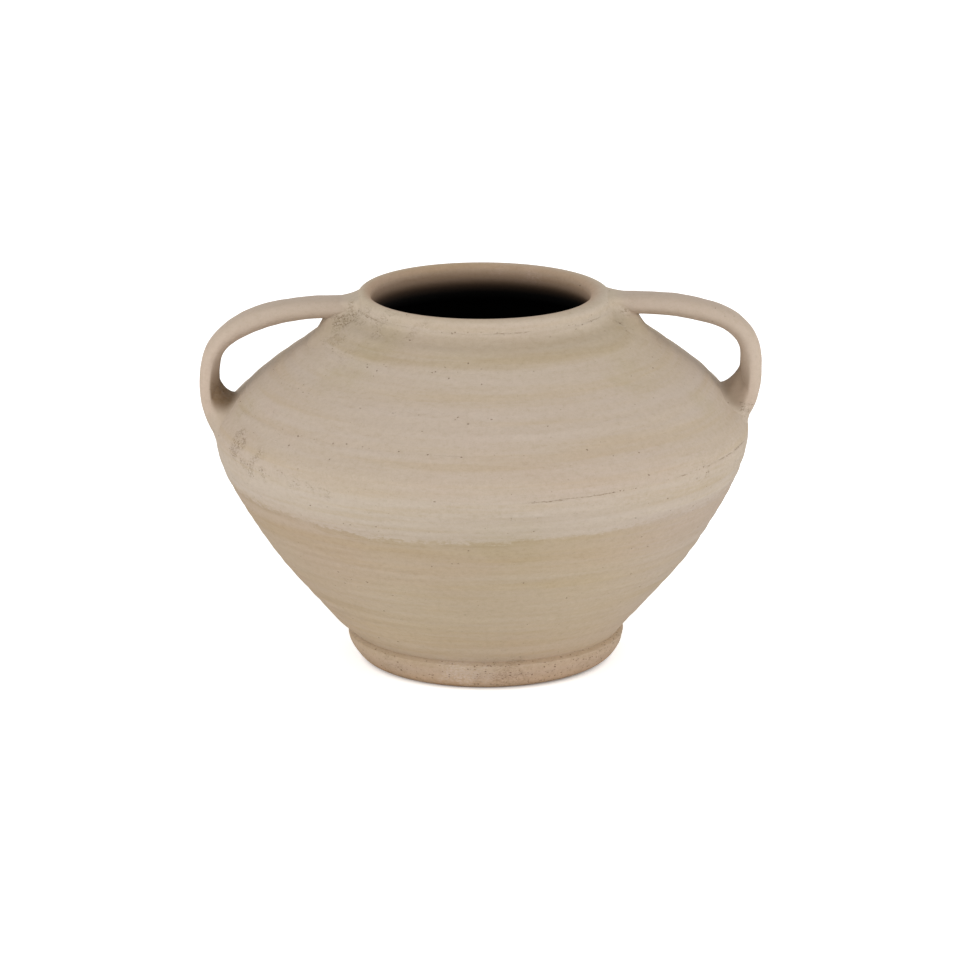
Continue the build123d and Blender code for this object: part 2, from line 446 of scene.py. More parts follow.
class MeshMaker:
    """Turns grids of points in millimetres into closed, smooth meshes in metres."""

    def __init__(self, form: JarForm) -> None:
        """Keeps the form whose drift every mesh follows."""
        self.form = form

    def build(self, name: str, grid: Points, faces: list, flow: Points, **tones: Points) -> bpy.types.Object:
        """Makes an object from points and faces.

        Args:
            name: the object's name.
            grid: the points, in millimetres, one row each.
            faces: lists of point indices.
            flow: for each point, the place that streaks are read at, drawn out along the clay's flow.
            tones: for each named tone, how strong it is at each point, from 0 to 1.

        Returns:
            The new object, linked to the scene.
        """
        points = self.form.drifted(grid) * MM
        mesh = bpy.data.meshes.new(name)
        mesh.from_pydata(points.tolist(), [], faces)
        mesh.validate()
        mesh.shade_smooth()
        mesh.set_sharp_from_angle(angle=math.radians(CREASE))
        for tone in Tone:
            layer = mesh.attributes.new(tone.value, "FLOAT", "POINT")
            strength = tones.get(tone.value, np.zeros(len(grid)))
            layer.data.foreach_set("value", np.ascontiguousarray(strength, np.float32))
        streak = mesh.attributes.new("flow", "FLOAT_VECTOR", "POINT")
        streak.data.foreach_set("vector", np.ascontiguousarray(flow * MM, np.float32).ravel())
        thing = bpy.data.objects.new(name, mesh)
        bpy.context.scene.collection.objects.link(thing)
        return thing

    @staticmethod
    def woven(rows: int, columns: int, rows_close: bool = True) -> list:
        """The quads of a grid whose columns close into rings.

        Args:
            rows: how many rows the grid has.
            columns: how many points there are in a row.
            rows_close: whether the last row joins the first, rather than ends in a lid at each end.

        Returns:
            Lists of point indices.
        """
        first = np.arange(rows if rows_close else rows - 1)[:, None] * columns
        second = (first + columns) % (rows * columns)
        left = np.arange(columns)[None, :]
        right = (left + 1) % columns
        quads = np.stack([first + left, first + right, second + right, second + left], axis=-1)
        faces = quads.reshape(-1, 4).tolist()
        if not rows_close:
            faces.append(list(range(columns))[::-1])
            faces.append(list(range((rows - 1) * columns, rows * columns)))
        return faces


@dataclass
class ThrownRing:
    """One thrown section or coil: a closed outline in (radius, height), turned round the axis.

    Attributes:
        name: the piece's name.
        node: the CAD node that it stands for.
        outer: the part of the outline that shows outside, from low to high.
        rest: the other points of the outline, in order from the outer part's end to its start.
        blackened: for each point of rest, how deep it is in the dark hollow, from 0 to 1.
        sides: how many points there are round the axis.
        tooled: whether the outer part carries the marks of throwing.
        browned: how deep in the hollow the last point of the outer part is.
    """

    name: str
    node: str
    outer: Points
    rest: Points
    blackened: Points
    sides: int = 384
    tooled: bool = True
    browned: float = 0.0
    # Shares of the outer part between which it darkens towards the hollow
    darkens: tuple[float, float] = (0.45, 0.85)

    def build(self, maker: MeshMaker, tooling: Tooling) -> bpy.types.Object:
        """Builds the ring's mesh.

        Args:
            maker: makes the mesh.
            tooling: the marks in the outer wall.

        Returns:
            The ring's object.
        """
        loop = np.concatenate([self.outer, self.rest])
        turn = np.linspace(0, FULL_TURN, self.sides, endpoint=False)[None, :]
        radius, height = loop[:, :1], loop[:, 1:]
        along = unit(np.gradient(self.outer, axis=0))
        out = np.zeros_like(loop)
        if self.tooled:
            out[: len(self.outer)] = np.stack([along[:, 1], -along[:, 0]], axis=1)
        rise = tooling.relief(turn, height)
        radii = radius + out[:, :1] * rise
        heights = np.maximum(height + out[:, 1:] * rise, 0)
        grid = turned(radii, turn, heights).reshape(-1, 3)
        share = np.linspace(0, 1, len(self.outer))
        hollow = np.concatenate([self.browned * ease(share, *self.darkens), self.blackened])
        flow = grid * (1 + (FLOW_LENGTH - 1) * UPRIGHT)
        faces = maker.woven(len(loop), self.sides)
        return maker.build(self.name, grid, faces, flow, hollow=np.repeat(hollow, self.sides))


@dataclass
class ThrownBody:
    """The jar's wall: foot ring, floor, bowl, shoulder, neck, rim and the coil inside the belly.

    A pair of counts gives the points along a section's outside and along its inside.
    """

    form: JarForm
    maker: MeshMaker
    tooling: Tooling
    # Heights between which the hollow fades from the clay's colour to near black
    darkness_low: float = 256.0
    darkness_high: float = 275.5
    browned: float = 0.2
    bowl_points: tuple[int, int] = (120, 30)
    shoulder_points: tuple[int, int] = (92, 26)
    neck_points: tuple[int, int] = (30, 12)
    rim_points: tuple[int, int] = (12, 5)
    lip_points: int = 26
    # The coil: points over its face and round the jar, how full its face is, how deep it is pressed in
    coil_points: int = 14
    coil_sides: int = 192
    coil_fullness: float = 1.4
    coil_pressed: float = 1.2
    # The foot: points up its face and over its roll, and the roll as (inside the brow, above the foot)
    face_points: int = 34
    roll_points: int = 7
    roll: tuple = ((1.2, -0.4), (4.2, 1.3))
    # Its worn inner edge as (outside the ledge, height), and how far inside the toe it rests
    heel: tuple = ((0.0, 4.0), (0.3, 1.0), (1.4, 0.0), (4.5, 0.0))
    toes: tuple[float, float] = (4.0, 1.0)
    # The floor slab: points round it, rings above and below, the smallest ring and how far it is sunk
    floor_sides: int = 96
    floor_rings: tuple[int, int] = (60, 20)
    eye: float = 3.0
    sunk: float = 0.6
    # The fingers' spiral: height, pitch, and where it is deepest; and the ripples below the slab
    spiral: tuple[float, float] = (0.25, 1.9)
    spiral_place: tuple[float, float] = (30.0, 34.0)
    ripple: tuple[float, float] = (0.25, 2.3)

    def darkness(self, line: Points) -> Points:
        """How dark the inside is along a line, by its height."""
        share = np.clip((self.darkness_high - line[:, 1]) / (self.darkness_high - self.darkness_low), 0, 1)
        return self.browned + (1 - self.browned) * share

    def bowl_inside(self) -> Points:
        """The bowl's inner line, from the belly down to the floor.

        Below the wall's own inner line it goes on down and in at the bowl's pitch, so it meets the
        floor further in than the CAD model's, which goes straight down there.

        Returns:
            The line's points.
        """
        form = self.form
        line = form.inner_line(form.bowl)
        over = line[0, 1] - form.foot_height
        seat = (line[0, 0] - over / math.tan(math.radians(form.bowl_pitch)), form.foot_height)
        line = np.concatenate([[seat], line])
        line[:, 1] = np.clip(line[:, 1], form.foot_height, form.belly_height - form.belly_bevel)
        return respaced(line[::-1], self.bowl_points[1])

    def coil(self, wall: Points) -> ThrownRing:
        """The coil pressed over the belly seam inside.

        Args:
            wall: the inner line of the bowl and the shoulder, from low to high.

        Returns:
            The coil.
        """
        form = self.form
        turns = np.linspace(-math.pi / 2, math.pi / 2, self.coil_points)
        heights = form.belly_height - form.belly_bevel + form.seam_coil_height / 2 * np.sin(turns)
        radii = np.interp(heights, wall[:, 1], wall[:, 0])
        face = np.stack([radii - form.seam_coil_bulge * np.cos(turns) ** self.coil_fullness, heights], axis=1)
        back = np.stack([radii + self.coil_pressed, heights], axis=1)[1:-1]
        darkness = np.ones(len(face))
        return ThrownRing("belly_coil", "belly_seam_coil", back, face[::-1], darkness, self.coil_sides, False)

    def rings(self) -> list[ThrownRing]:
        """The thrown sections and coils.

        Returns:
            The rings, from the ground up, with the coil last.
        """
        form = self.form
        bowl_inside = self.bowl_inside()
        shoulder_inside = form.inner_line(form.shoulder)
        shoulder_inside[0, 1] = form.belly_height - form.belly_bevel
        shoulder_inside = respaced(shoulder_inside[::-1], self.shoulder_points[1])
        throat_top = form.rim_seam_height - form.rim_bevel
        pitch = math.radians(form.shoulder_pitch)
        throat = [(form.mouth_radius, throat_top - form.throat_land), shoulder_inside[0]]
        throat = smooth_line(throat, (0, -1), (math.cos(pitch), -math.sin(pitch)), self.neck_points[1])
        neck_inside = np.concatenate([[(form.mouth_radius, throat_top)], throat])
        rim_heights = np.linspace(form.lip_height, throat_top, self.rim_points[1])[1:]
        rim_inside = np.array([[form.mouth_radius, height] for height in rim_heights])
        rim = [respaced(form.rim, self.rim_points[0])[:-1], respaced(form.lip, self.lip_points)]
        sections = (
            ("bowl_wall", "lower_bowl", respaced(form.bowl, self.bowl_points[0]), bowl_inside),
            ("shoulder_wall", "shoulder", respaced(form.shoulder, self.shoulder_points[0]), shoulder_inside),
            ("neck_wall", "neck_collar", respaced(form.neck, self.neck_points[0]), neck_inside),
            ("rolled_rim", "rim_coil", np.concatenate(rim), rim_inside),
        )
        rings = [self.foot()]
        for name, node, outer, rest in sections:
            browned = self.browned if node == "rim_coil" else 0.0
            rings.append(ThrownRing(name, node, outer, rest, self.darkness(rest), browned=browned))
        wall = np.concatenate([bowl_inside[::-1], shoulder_inside[::-1][1:]])
        return [*rings, self.coil(wall)]

    def foot(self) -> ThrownRing:
        """The foot ring, with a rolled upper edge and a worn lower one.

        Returns:
            The ring.
        """
        form = self.form
        brow, top = form.foot_radius, form.foot_height
        face = [(brow - inside, height) for inside, height in form.foot_face]
        face = smooth_line(face, count=self.face_points)
        over = [(brow - inside, top + above) for inside, above in self.roll]
        roll = smooth_line([face[-1], *over], count=self.roll_points)[1:]
        inner = brow - form.foot_crease - form.foot_land
        ledge, under = inner - form.floor_ledge, top - form.floor_thickness
        rest = [(inner, top), (inner, under), (ledge, under)]
        rest += [(ledge + outside, height) for outside, height in self.heel]
        rest += [(face[0, 0] - inside, 0.0) for inside in self.toes]
        outer, clean = np.concatenate([face, roll]), np.zeros(len(rest))
        return ThrownRing("foot_coil", "foot_ring", outer, np.array(rest), clean)

    def floor(self) -> bpy.types.Object:
        """Builds the floor slab, thrown flat with a spiral left by the fingers.

        Returns:
            The slab.
        """
        form = self.form
        edge = form.foot_radius - form.foot_crease - form.foot_land
        turn = np.linspace(0, FULL_TURN, self.floor_sides, endpoint=False)[None, :]
        radii = np.linspace(self.eye, edge, self.floor_rings[0])[:, None]
        under = np.linspace(edge, self.eye, self.floor_rings[1])[:, None]
        height, pitch = self.spiral
        spiral = height * np.sin(radii / pitch - turn) * hump(radii, *self.spiral_place)
        upper = turned(radii, turn, form.foot_height - self.sunk + spiral)
        height, pitch = self.ripple
        ripples = height * np.sin(under / pitch) * np.ones_like(turn)
        lower = turned(under, turn, form.foot_height - form.floor_thickness + ripples)
        grid = np.concatenate([upper, lower]).reshape(-1, 3)
        faces = self.maker.woven(sum(self.floor_rings), self.floor_sides, False)
        hollow = np.repeat(np.repeat([1.0, 0.0], self.floor_rings), self.floor_sides)
        return self.maker.build("floor_slab", grid, faces, grid, hollow=hollow)


class End(Enum):
    """The two ends of a strap handle."""

    UPPER = "upper"
    LOWER = "lower"


@dataclass(frozen=True)
class PadSpread:
    """How far the pressed clay reaches from the corner between strap and wall, in millimetres.

    Each group gives the reach up the strap, the reach along the wall, and how full the clay
    between them is: 0 for a hollow curve into the corner, 1 for straight across.
    """

    outer: tuple[float, float, float]
    side: tuple[float, float, float]
    inner: tuple[float, float, float]


@dataclass
class StrapHandle:
    """A pulled strap handle on one side of the jar, and the clay pressed round its two ends."""

    form: JarForm
    name: str
    side: int
    stand: float
    drop: float
    root_height: float
    path_shares: tuple
    strap_shares: tuple
    seed: int
    painted_shade_depth: float
    lower_spread: PadSpread
    upper_spread: PadSpread = PadSpread((16.0, 13.0, 0.35), (9.0, 12.0, 0.0), (11.0, 34.0, 0.95))
    width: float = 27.0
    thickness: float = 14.5
    inset: float = 9.0
    rings: int = 260
    sides: int = 72
    # The hand's unevenness along the strap, as (added seed, most round, shortest, longest, size)
    hands: tuple = ((0, 3, 26.0, 70.0, 0.014), (5, 6, 9.0, 20.0, 0.006))
    # How streaks are drawn out along the strap and drawn in across it
    flow_along: float = 0.6
    flow_across: float = 4.0
    # Heights between which painted shade darkens the strap's inner facet towards its root, and how far round
    painted_shade_heights: tuple[float, float] = (200.0, 240.0)
    painted_shade_edge: tuple[float, float] = (0.2, 0.45)
    painted_shade_turn: float = 0.25
    # The painted shade in the pocket at the root: the heights between which it begins, its edge round the
    # strap, and how far from the wall's end of the pad it begins
    pocket_heights: tuple[float, float] = (187.0, 198.0)
    pocket_edge: tuple[float, float] = (-0.25, 0.3)
    pocket_steps: tuple[float, float] = (0.0, 0.4)
    # Distances from the wall between which the clay loses the colour of the wall's
    blend: tuple[float, float] = (2.0, 16.0)
    # How far round the strap the outer and inner groups of a spread hold
    spread_edge: tuple[float, float] = (-0.1, 0.95)
    # The pads' unevenness: added seed at each end, waves, its size, and the step between its groups
    pad_seeds: tuple[int, int] = (3, 9)
    pad_waves: tuple[int, float, float] = (7, 50.0, 90.0)
    pad_uneven: float = 0.1
    pad_step: float = 30.0
    # A pad's rows of points, how deep its edges are pressed in and how far its corner stands off
    pad_rows: int = 24
    pressed_wall: float = 0.45
    pressed_strap: float = 0.25
    corner_stand: float = 0.35
    # Share of a pad's curve that leaves the wall level, and how far its hidden back is sunk
    level_share: float = 0.45
    sunk: float = 1.6
    sunk_corner: float = 1.2
    # How far a pad stays below the top of the lip
    below_lip: float = 1.0
    # Corners of the strap's section, as shares of half the thickness and of half the width
    section_shares: tuple = (
        ((1.04, -0.5), (1.04, 0.5), (0.66, 0.94), (-0.22, 1.1), (-0.86, 0.74))
        + ((-1.05, 0.36), (-1.05, -0.36), (-0.86, -0.74), (-0.22, -1.1), (0.66, -0.94))
    )
    # How often the corners are cut, and how far along each side
    cuts: int = 3
    cut: float = 0.25

    def __post_init__(self) -> None:
        """Works out the centre line and the strap's surface."""
        form = self.form
        start = (self.side * (form.lip_side - self.inset), form.height - self.drop)
        reach = form.belly_radius + self.stand - form.lip_side
        rise = form.height - self.drop - self.root_height
        points = [start]
        for out, up in self.path_shares:
            points.append((self.side * (form.lip_side + out * reach), self.root_height + up * rise))
        line = smooth_line(points, count=self.rings)
        self.centre = np.stack([line[:, 0], np.zeros(self.rings), line[:, 1]], axis=1)
        self.along = unit(np.gradient(self.centre, axis=0))
        self.away = unit(np.cross(np.broadcast_to(ACROSS, self.along.shape), self.along)) * -self.side
        self.at = arc_lengths(self.centre)
        self.surface = self._surface()

    def _section(self) -> Points:
        """The strap's section in shares, with its corners rounded.

        Returns:
            Evenly spaced points round the section.
        """
        corners = np.array(self.section_shares)
        for _ in range(self.cuts):
            following = np.roll(corners, -1, axis=0)
            cut = [(1 - far) * corners + far * following for far in (self.cut, 1 - self.cut)]
            corners = np.stack(cut, axis=1).reshape(-1, 2)
        return respaced(np.concatenate([corners, corners[:1]]), self.sides + 1)[:-1]

    def _surface(self) -> Points:
        """The strap's surface.

        Returns:
            Rings of points along its centre line.
        """
        share = np.linspace(0, 1, self.rings)
        table = smooth_line(self.strap_shares)
        wide = np.interp(share, table[:, 0], table[:, 1]) * self.width / 2
        thick = np.interp(share, table[:, 0], table[:, 2]) * self.thickness / 2
        section = self._section()
        angle = np.arctan2(section[:, 1], section[:, 0])
        swell = np.ones((self.rings, self.sides))
        for step, most_round, shortest, longest, size in self.hands:
            hand = Unevenness(self.seed + step, most_round, shortest, longest)
            swell = swell + size * hand.at(angle[None, :], self.at[:, None])
        out = section[None, :, 0] * thick[:, None] * swell
        aside = section[None, :, 1] * wide[:, None] * swell
        return self.centre[:, None, :] + out[..., None] * self.away[:, None, :] + aside[..., None] * ACROSS

    def _joined(self, points: Points) -> Points:
        """How far the clay at each point has the colour of the wall that it joins."""
        return 1 - ease(self.form.outside(points), *self.blend)

    def strap(self, maker: MeshMaker) -> bpy.types.Object:
        """Builds the strap, with both ends sunk a little into the wall.

        Args:
            maker: makes the mesh.

        Returns:
            The strap.
        """
        grid, height = self.surface.reshape(-1, 3), self.surface[..., 2]
        section = self._section()
        flow = np.zeros((self.rings, self.sides, 3))
        flow[..., 0] = self.at[:, None] * self.flow_along
        flow[..., 1:] = section * (self.thickness, self.width) * self.flow_across
        # Painted shade on the strap's inner facet, strongest low down towards the lower root
        low = 1 - ease(height, *self.painted_shade_heights)
        painted_darkness = self.painted_shade_depth * low * ease(self.painted_shade_turn * low - section[None, :, 0], *self.painted_shade_edge)
        painted_darkness = painted_darkness * ease(height, *self.pocket_heights)
        faces = maker.woven(self.rings, self.sides, False)
        tones = {"stain": painted_darkness.ravel(), "joined": self._joined(grid)}
        return maker.build(f"{self.name}_strap", grid, faces, flow.reshape(-1, 3), **tones)

    def root(self, end: End) -> tuple[Points, Points]:
        """Where the strap's surface meets the wall at one end.

        Args:
            end: which end of the strap.

        Returns:
            For each side line of the strap, its distance along the strap and its meeting point.
        """
        clear = self.form.outside(self.surface)
        middle = self.rings // 2
        rows = range(middle, 0, -1) if end is End.UPPER else range(middle, self.rings - 1)
        step = -1 if end is End.UPPER else 1
        met_at, met = np.zeros(self.sides), np.zeros((self.sides, 3))
        for column in range(self.sides):
            for row in rows:
                if clear[row + step, column] <= 0:
                    share = clear[row, column] / (clear[row, column] - clear[row + step, column])
                    break
            met_at[column] = self.at[row] + share * (self.at[row + step] - self.at[row])
            met[column] = (1 - share) * self.surface[row, column] + share * self.surface[row + step, column]
        return met_at, met

    def _reaches(self, end: End, section: Points) -> list[Points]:
        """How far the pressed clay reaches round one end of the strap.

        Args:
            end: which end of the strap.
            section: the strap's section, in shares.

        Returns:
            For each side line, the reach up the strap, the reach along the wall, and the fullness.
        """
        upper = end is End.UPPER
        spread = self.upper_spread if upper else self.lower_spread
        outward = np.clip(section[:, 0], -1, 1)
        out_share, in_share = ease(outward, *self.spread_edge), ease(-outward, *self.spread_edge)
        hand = Unevenness(self.seed + self.pad_seeds[0 if upper else 1], *self.pad_waves)
        angle = np.arctan2(section[:, 1], section[:, 0])
        reaches = []
        for number, (outer, side, inner) in enumerate(zip(spread.outer, spread.side, spread.inner)):
            size = side + out_share * (outer - side) + in_share * (inner - side)
            uneven = hand.at(angle, np.full(self.sides, self.pad_step * number))
            reaches.append(size * (1 + self.pad_uneven * uneven))
        return reaches

    def _on_strap(self, at: Points) -> tuple[Points, Points]:
        """Points on the strap.

        Args:
            at: for each side line, a distance along the strap.

        Returns:
            The points on the side lines, and those of the centre line beside them.
        """
        rows = np.interp(at, self.at, np.arange(self.rings))
        low = np.clip(np.floor(rows).astype(int), 0, self.rings - 2)
        share, columns = (rows - low)[:, None], np.arange(self.sides)
        points = (1 - share) * self.surface[low, columns] + share * self.surface[low + 1, columns]
        return points, self.centre[low]

    def _along_wall(self, met: Points, reach: Points) -> Points:
        """Points on the wall round an end of the strap.

        Args:
            met: where the side lines meet the wall.
            reach: how far from there the points are.

        Returns:
            The points.
        """
        form, turn = self.form, np.arctan2(met[:, 1], met[:, 0])
        normal, uphill, level = form.wall_frame(met[:, 2], turn)
        leaving = met - np.mean(met, axis=0)
        leaving = unit(leaving - np.sum(leaving * normal, axis=1, keepdims=True) * normal)
        rise = np.sum(leaving * uphill, axis=1) * reach
        shift = np.sum(leaving * level, axis=1) * reach
        along = np.interp(met[:, 2], form.outer[:, 1], form.outer_at) + rise
        along = np.minimum(along, form.outer_at[-1] - self.below_lip)
        return form.on_wall(along, turn + shift / np.hypot(met[:, 0], met[:, 1]))

    def pad(self, end: End, maker: MeshMaker) -> bpy.types.Object:
        """Builds the clay pressed into the corner between one end of the strap and the wall.

        Args:
            end: which end of the strap.
            maker: makes the mesh.

        Returns:
            The pad, a closed ring round the strap.
        """
        met_at, met = self.root(end)
        section = self._section()
        up_strap, along_wall, full = self._reaches(end, section)
        on_strap, heart = self._on_strap(met_at + (up_strap if end is End.UPPER else -up_strap))
        on_wall = self._along_wall(met, along_wall)
        normal, wall_normal = [
            self.form.wall_frame(points[:, 2], np.arctan2(points[:, 1], points[:, 0]))[0]
            for points in (met, on_wall)
        ]
        inside = unit(heart - on_strap)
        start, finish = on_wall - self.pressed_wall * wall_normal, on_strap + self.pressed_strap * inside
        corner = met + self.corner_stand * normal
        hollow = 2 / 3 * (1 - full)[:, None]
        leave_wall = start + (corner - start) * ((1 - self.level_share) * hollow + self.level_share * 2 / 3)
        reach_strap = finish + (corner - finish) * hollow
        steps = np.linspace(0, 1, self.pad_rows)
        weights = [((1 - t) ** 3, 3 * t * (1 - t) ** 2, 3 * t**2 * (1 - t), t**3) for t in steps]
        rows = [a * start + b * leave_wall + c * reach_strap + d * finish for a, b, c, d in weights]
        rows.append(finish + self.sunk * inside)
        rows.append(met - self.sunk * normal + self.sunk_corner * inside)
        rows.append(start - self.sunk * wall_normal)
        grid = np.stack(rows)
        painted_darkness = np.zeros(grid.shape[:2])
        # Painted shade in the pocket at the lower root
        if end is End.LOWER:
            pocket = ease(-section[:, 0], *self.pocket_edge)
            painted_darkness[: len(steps)] = self.painted_shade_depth * pocket[None, :] * ease(steps, *self.pocket_steps)[:, None]
            painted_darkness = painted_darkness * ease(grid[..., 2], *self.pocket_heights)
        grid, faces = grid.reshape(-1, 3), maker.woven(len(rows), self.sides)
        tones = {"stain": painted_darkness.ravel(), "joined": self._joined(grid)}
        return maker.build(f"{self.name}_{end.value}_pad", grid, faces, grid * 2.0, **tones)


class Value:
    """A node socket that carries a number. Arithmetic on it adds Math nodes."""

    def __init__(self, kit: "NodeKit", socket: bpy.types.NodeSocket) -> None:
        self.kit = kit
        self.socket = socket

    def _math(self, operation: str, first: Any, second: Any) -> "Value":
        """Adds a Math node and returns its result."""
        return self.kit.value("ShaderNodeMath", {"operation": operation}, {0: first, 1: second})

    def __add__(self, other: Any) -> "Value":
        """This value plus another."""
        return self._math("ADD", self, other)

    def __sub__(self, other: Any) -> "Value":
        """This value minus another."""
        return self._math("SUBTRACT", self, other)

    def __rsub__(self, other: Any) -> "Value":
        """Another value minus this one."""
        return self._math("SUBTRACT", other, self)

    def __mul__(self, other: Any) -> "Value":
        """This value times another."""
        return self._math("MULTIPLY", self, other)

    def __gt__(self, other: Any) -> "Value":
        """One where this value is above another, zero elsewhere."""
        return self._math("GREATER_THAN", self, other)

    __radd__ = __add__
    __rmul__ = __mul__

    def higher(self, other: Any) -> "Value":
        """The higher of this value and another."""
        return self._math("MAXIMUM", self, other)

    def lower(self, other: Any) -> "Value":
        """The lower of this value and another."""
        return self._math("MINIMUM", self, other)

    def between(self, low: float, high: float) -> "Value":
        """A smooth step.

        Args:
            low: where it is 0.
            high: where it is 1, above or below low.

        Returns:
            A value from 0 to 1.
        """
        falling = high < low
        span = {1: high, 2: low, 3: 1.0, 4: 0.0} if falling else {1: low, 2: high, 3: 0.0, 4: 1.0}
        return self.kit.value("ShaderNodeMapRange", {"interpolation_type": "SMOOTHSTEP"}, {0: self, **span})

    def ridge(self, middle: float, half_width: float) -> "Value":
        """One where this value is middle, fading to 0 at half_width away."""
        return self._math("ABSOLUTE", self - middle, 0.0).between(half_width, 0.0)


class NodeKit:
    """Builds the nodes of one material or world."""

    def __init__(self, owner: bpy.types.Material | bpy.types.World) -> None:
        """Empties the nodes of a material or world.

        Args:
            owner: the material or world.
        """
        owner.use_nodes = True
        self.tree = owner.node_tree
        self.tree.nodes.clear()

    def node(self, kind: str, settings: dict[str, Any], inputs: dict[Any, Any]) -> bpy.types.Node:
        """Adds a node.

        Args:
            kind: the node's type.
            settings: its settings, which are set first; "stops" gives a colour ramp's stops.
            inputs: values or links for its sockets, by name or by number.

        Returns:
            The new node.
        """
        node = self.tree.nodes.new(kind)
        for key, setting in settings.items():
            if key == "stops":
                self._set_stops(node.color_ramp, setting)
            else:
                setattr(node, key, setting)
        for key, given in inputs.items():
            socket = node.inputs[key]
            if isinstance(given, Value):
                given = given.socket
            if isinstance(given, bpy.types.NodeSocket):
                self.tree.links.new(given, socket)
            else:
                socket.default_value = given
        return node

    @staticmethod
    def _set_stops(ramp: bpy.types.ColorRamp, stops: list) -> None:
        """Sets a colour ramp's stops.

        Args:
            ramp: the colour ramp.
            stops: pairs of place and colour.
        """
        while len(ramp.elements) < len(stops):
            ramp.elements.new(0.5)
        for element, (place, colour) in zip(ramp.elements, stops):
            element.position = place
            element.color = colour

    def value(self, kind: str, settings: dict[str, Any], inputs: dict[Any, Any], output: Any = 0) -> Value:
        """Adds a node and wraps one of its outputs."""
        return Value(self, self.node(kind, settings, inputs).outputs[output])

    def vector(self, operation: str, *inputs: Any, output: int = 0) -> Value:
        """Adds a Vector Math node and wraps its result."""
        return self.value("ShaderNodeVectorMath", {"operation": operation}, dict(enumerate(inputs)), output)

    def noise(self, place: Any, scale: float, detail: float, rough: float = 0.5, output: Any = 0) -> Value:
        """Noise from 0 to 1 at a place, as a number or as a colour."""
        inputs = {"Vector": place, "Scale": scale, "Detail": detail, "Roughness": rough}
        return self.value("ShaderNodeTexNoise", {}, inputs, output)

    def mixed(self, share: Any, first: Any, second: Any, blend: str = "MIX") -> Value:
        """Two colours mixed by a share of the second."""
        settings = {"data_type": "RGBA", "blend_type": blend, "clamp_factor": True}
        return self.value("ShaderNodeMix", settings, {0: share, 6: first, 7: second}, 2)

    def tinted(self, share: Any, colour: Any, tint: tuple[float, float, float]) -> Value:
        """A colour multiplied by a share of a tint."""
        return self.mixed(share, colour, (*tint, 1), "MULTIPLY")

    def near(self, place: Any, centre: tuple, radius: float, whole: float | None = None) -> Value:
        """One near a centre, fading to 0 at a radius.

        Args:
            place: the place that is asked about.
            centre: the centre, in millimetres.
            radius: the distance at which it is 0.
            whole: the distance up to which it is 1, or None for a quarter of the radius.

        Returns:
            A value from 0 to 1.
        """
        away = self.vector("DISTANCE", place, tuple(c * MM for c in centre), output=1)
        return away.between(radius * MM, (radius / 4 if whole is None else whole) * MM)


@dataclass(frozen=True)
class Mark:
    """A small place with different clay: its centre and radius in millimetres, and strength."""

    centre: tuple[float, float, float]
    radius: float
    strength: float


# Scuffs, stains of ochre and pale blooms, as (centre, radius, strength)
SCUFFS = tuple(
    Mark(*row)
    for row in (
        ((-182, -80, 179), 17, 0.9), ((-166, -110, 174), 16, 0.8),
        ((-136, -146, 170), 10, 0.6), ((-116, -161, 170), 10, 0.55),
        ((-88, -38, 268), 15, 0.6), ((-70, -62, 266), 15, 0.5),
        ((-45, -80, 266), 13, 0.4), ((14, -98, 7), 30, 0.5),
        ((-66, -72, 6), 20, 0.4), ((70, -68, 8), 18, 0.2),
        ((-101, -28, 262), 19, 1), ((-112, -40, 254), 13, 0.5),
        ((-104, -62, 248), 12, 0.35), ((104, -26, 264), 13, 0.7),
        ((193, -18, 192), 10, 0.9), ((163, -114, 172), 9, 0.7),
        ((-98, -128, 92), 7, 0.5), ((-176, -60, 205), 11, 0.35),
        ((112, 60, 228), 16, 0.4), ((-90, 150, 190), 18, 0.5),
        ((40, 165, 120), 16, 0.5),
    )
)
OCHRES = tuple(
    Mark(*row)
    for row in (
        ((-104, -88, 234), 34, 0.9), ((-77, -75, 259), 30, 0.9),
        ((104, -88, 236), 32, 0.8), ((-176, -40, 205), 26, 0.5),
        ((158, -62, 205), 22, 0.7), ((-20, 120, 236), 40, 0.7),
        ((20, -186, 128), 42, 0.6),
    )
)
BLOOMS = tuple(
    Mark(*row)
    for row in (
        ((-12, -100, 11), 24, 0.8), ((182, -72, 165), 26, 0.5),
        ((10, 88, 277), 18, 0.5), ((30, 86, 275), 26, 1),
        ((-104, -52, 244), 20, 0.3), ((150, -128, 168), 30, 0.3),
    )
)


@dataclass(frozen=True)
class Seam:
    """A broken dark line round the wall.

    Attributes:
        height: its height in millimetres.
        tilt: how much higher it is for each metre towards +X, in millimetres.
        half_width: half its width in millimetres.
        left: the strength on the -X side.
        right: the strength on the +X side.
    """

    height: float
    tilt: float
    half_width: float
    left: float
    right: float


SEAMS = (
    Seam(171.0, 0.0, 2.2, 0.74, 0.0),
    Seam(167.9, 38.0, 2.2, 0.0, 1.0),
    Seam(157.0, 6.0, 3.4, 0.5, 0.66),
    Seam(146.0, 6.0, 3.4, 0.45, 0.64),
    Seam(200.0, 2.0, 2.2, 0.8, 0.2),
    Seam(269.6, 0.0, 2.6, 1.0, 0.85),
    Seam(246.4, 2.0, 2.0, 0.8, 0.5),
    Seam(222.0, -4.0, 2.0, 0.62, 0.62),
    Seam(118.0, 4.0, 2.0, 0.64, 0.68),
    Seam(84.0, 4.0, 2.0, 0.66, 0.66),
)


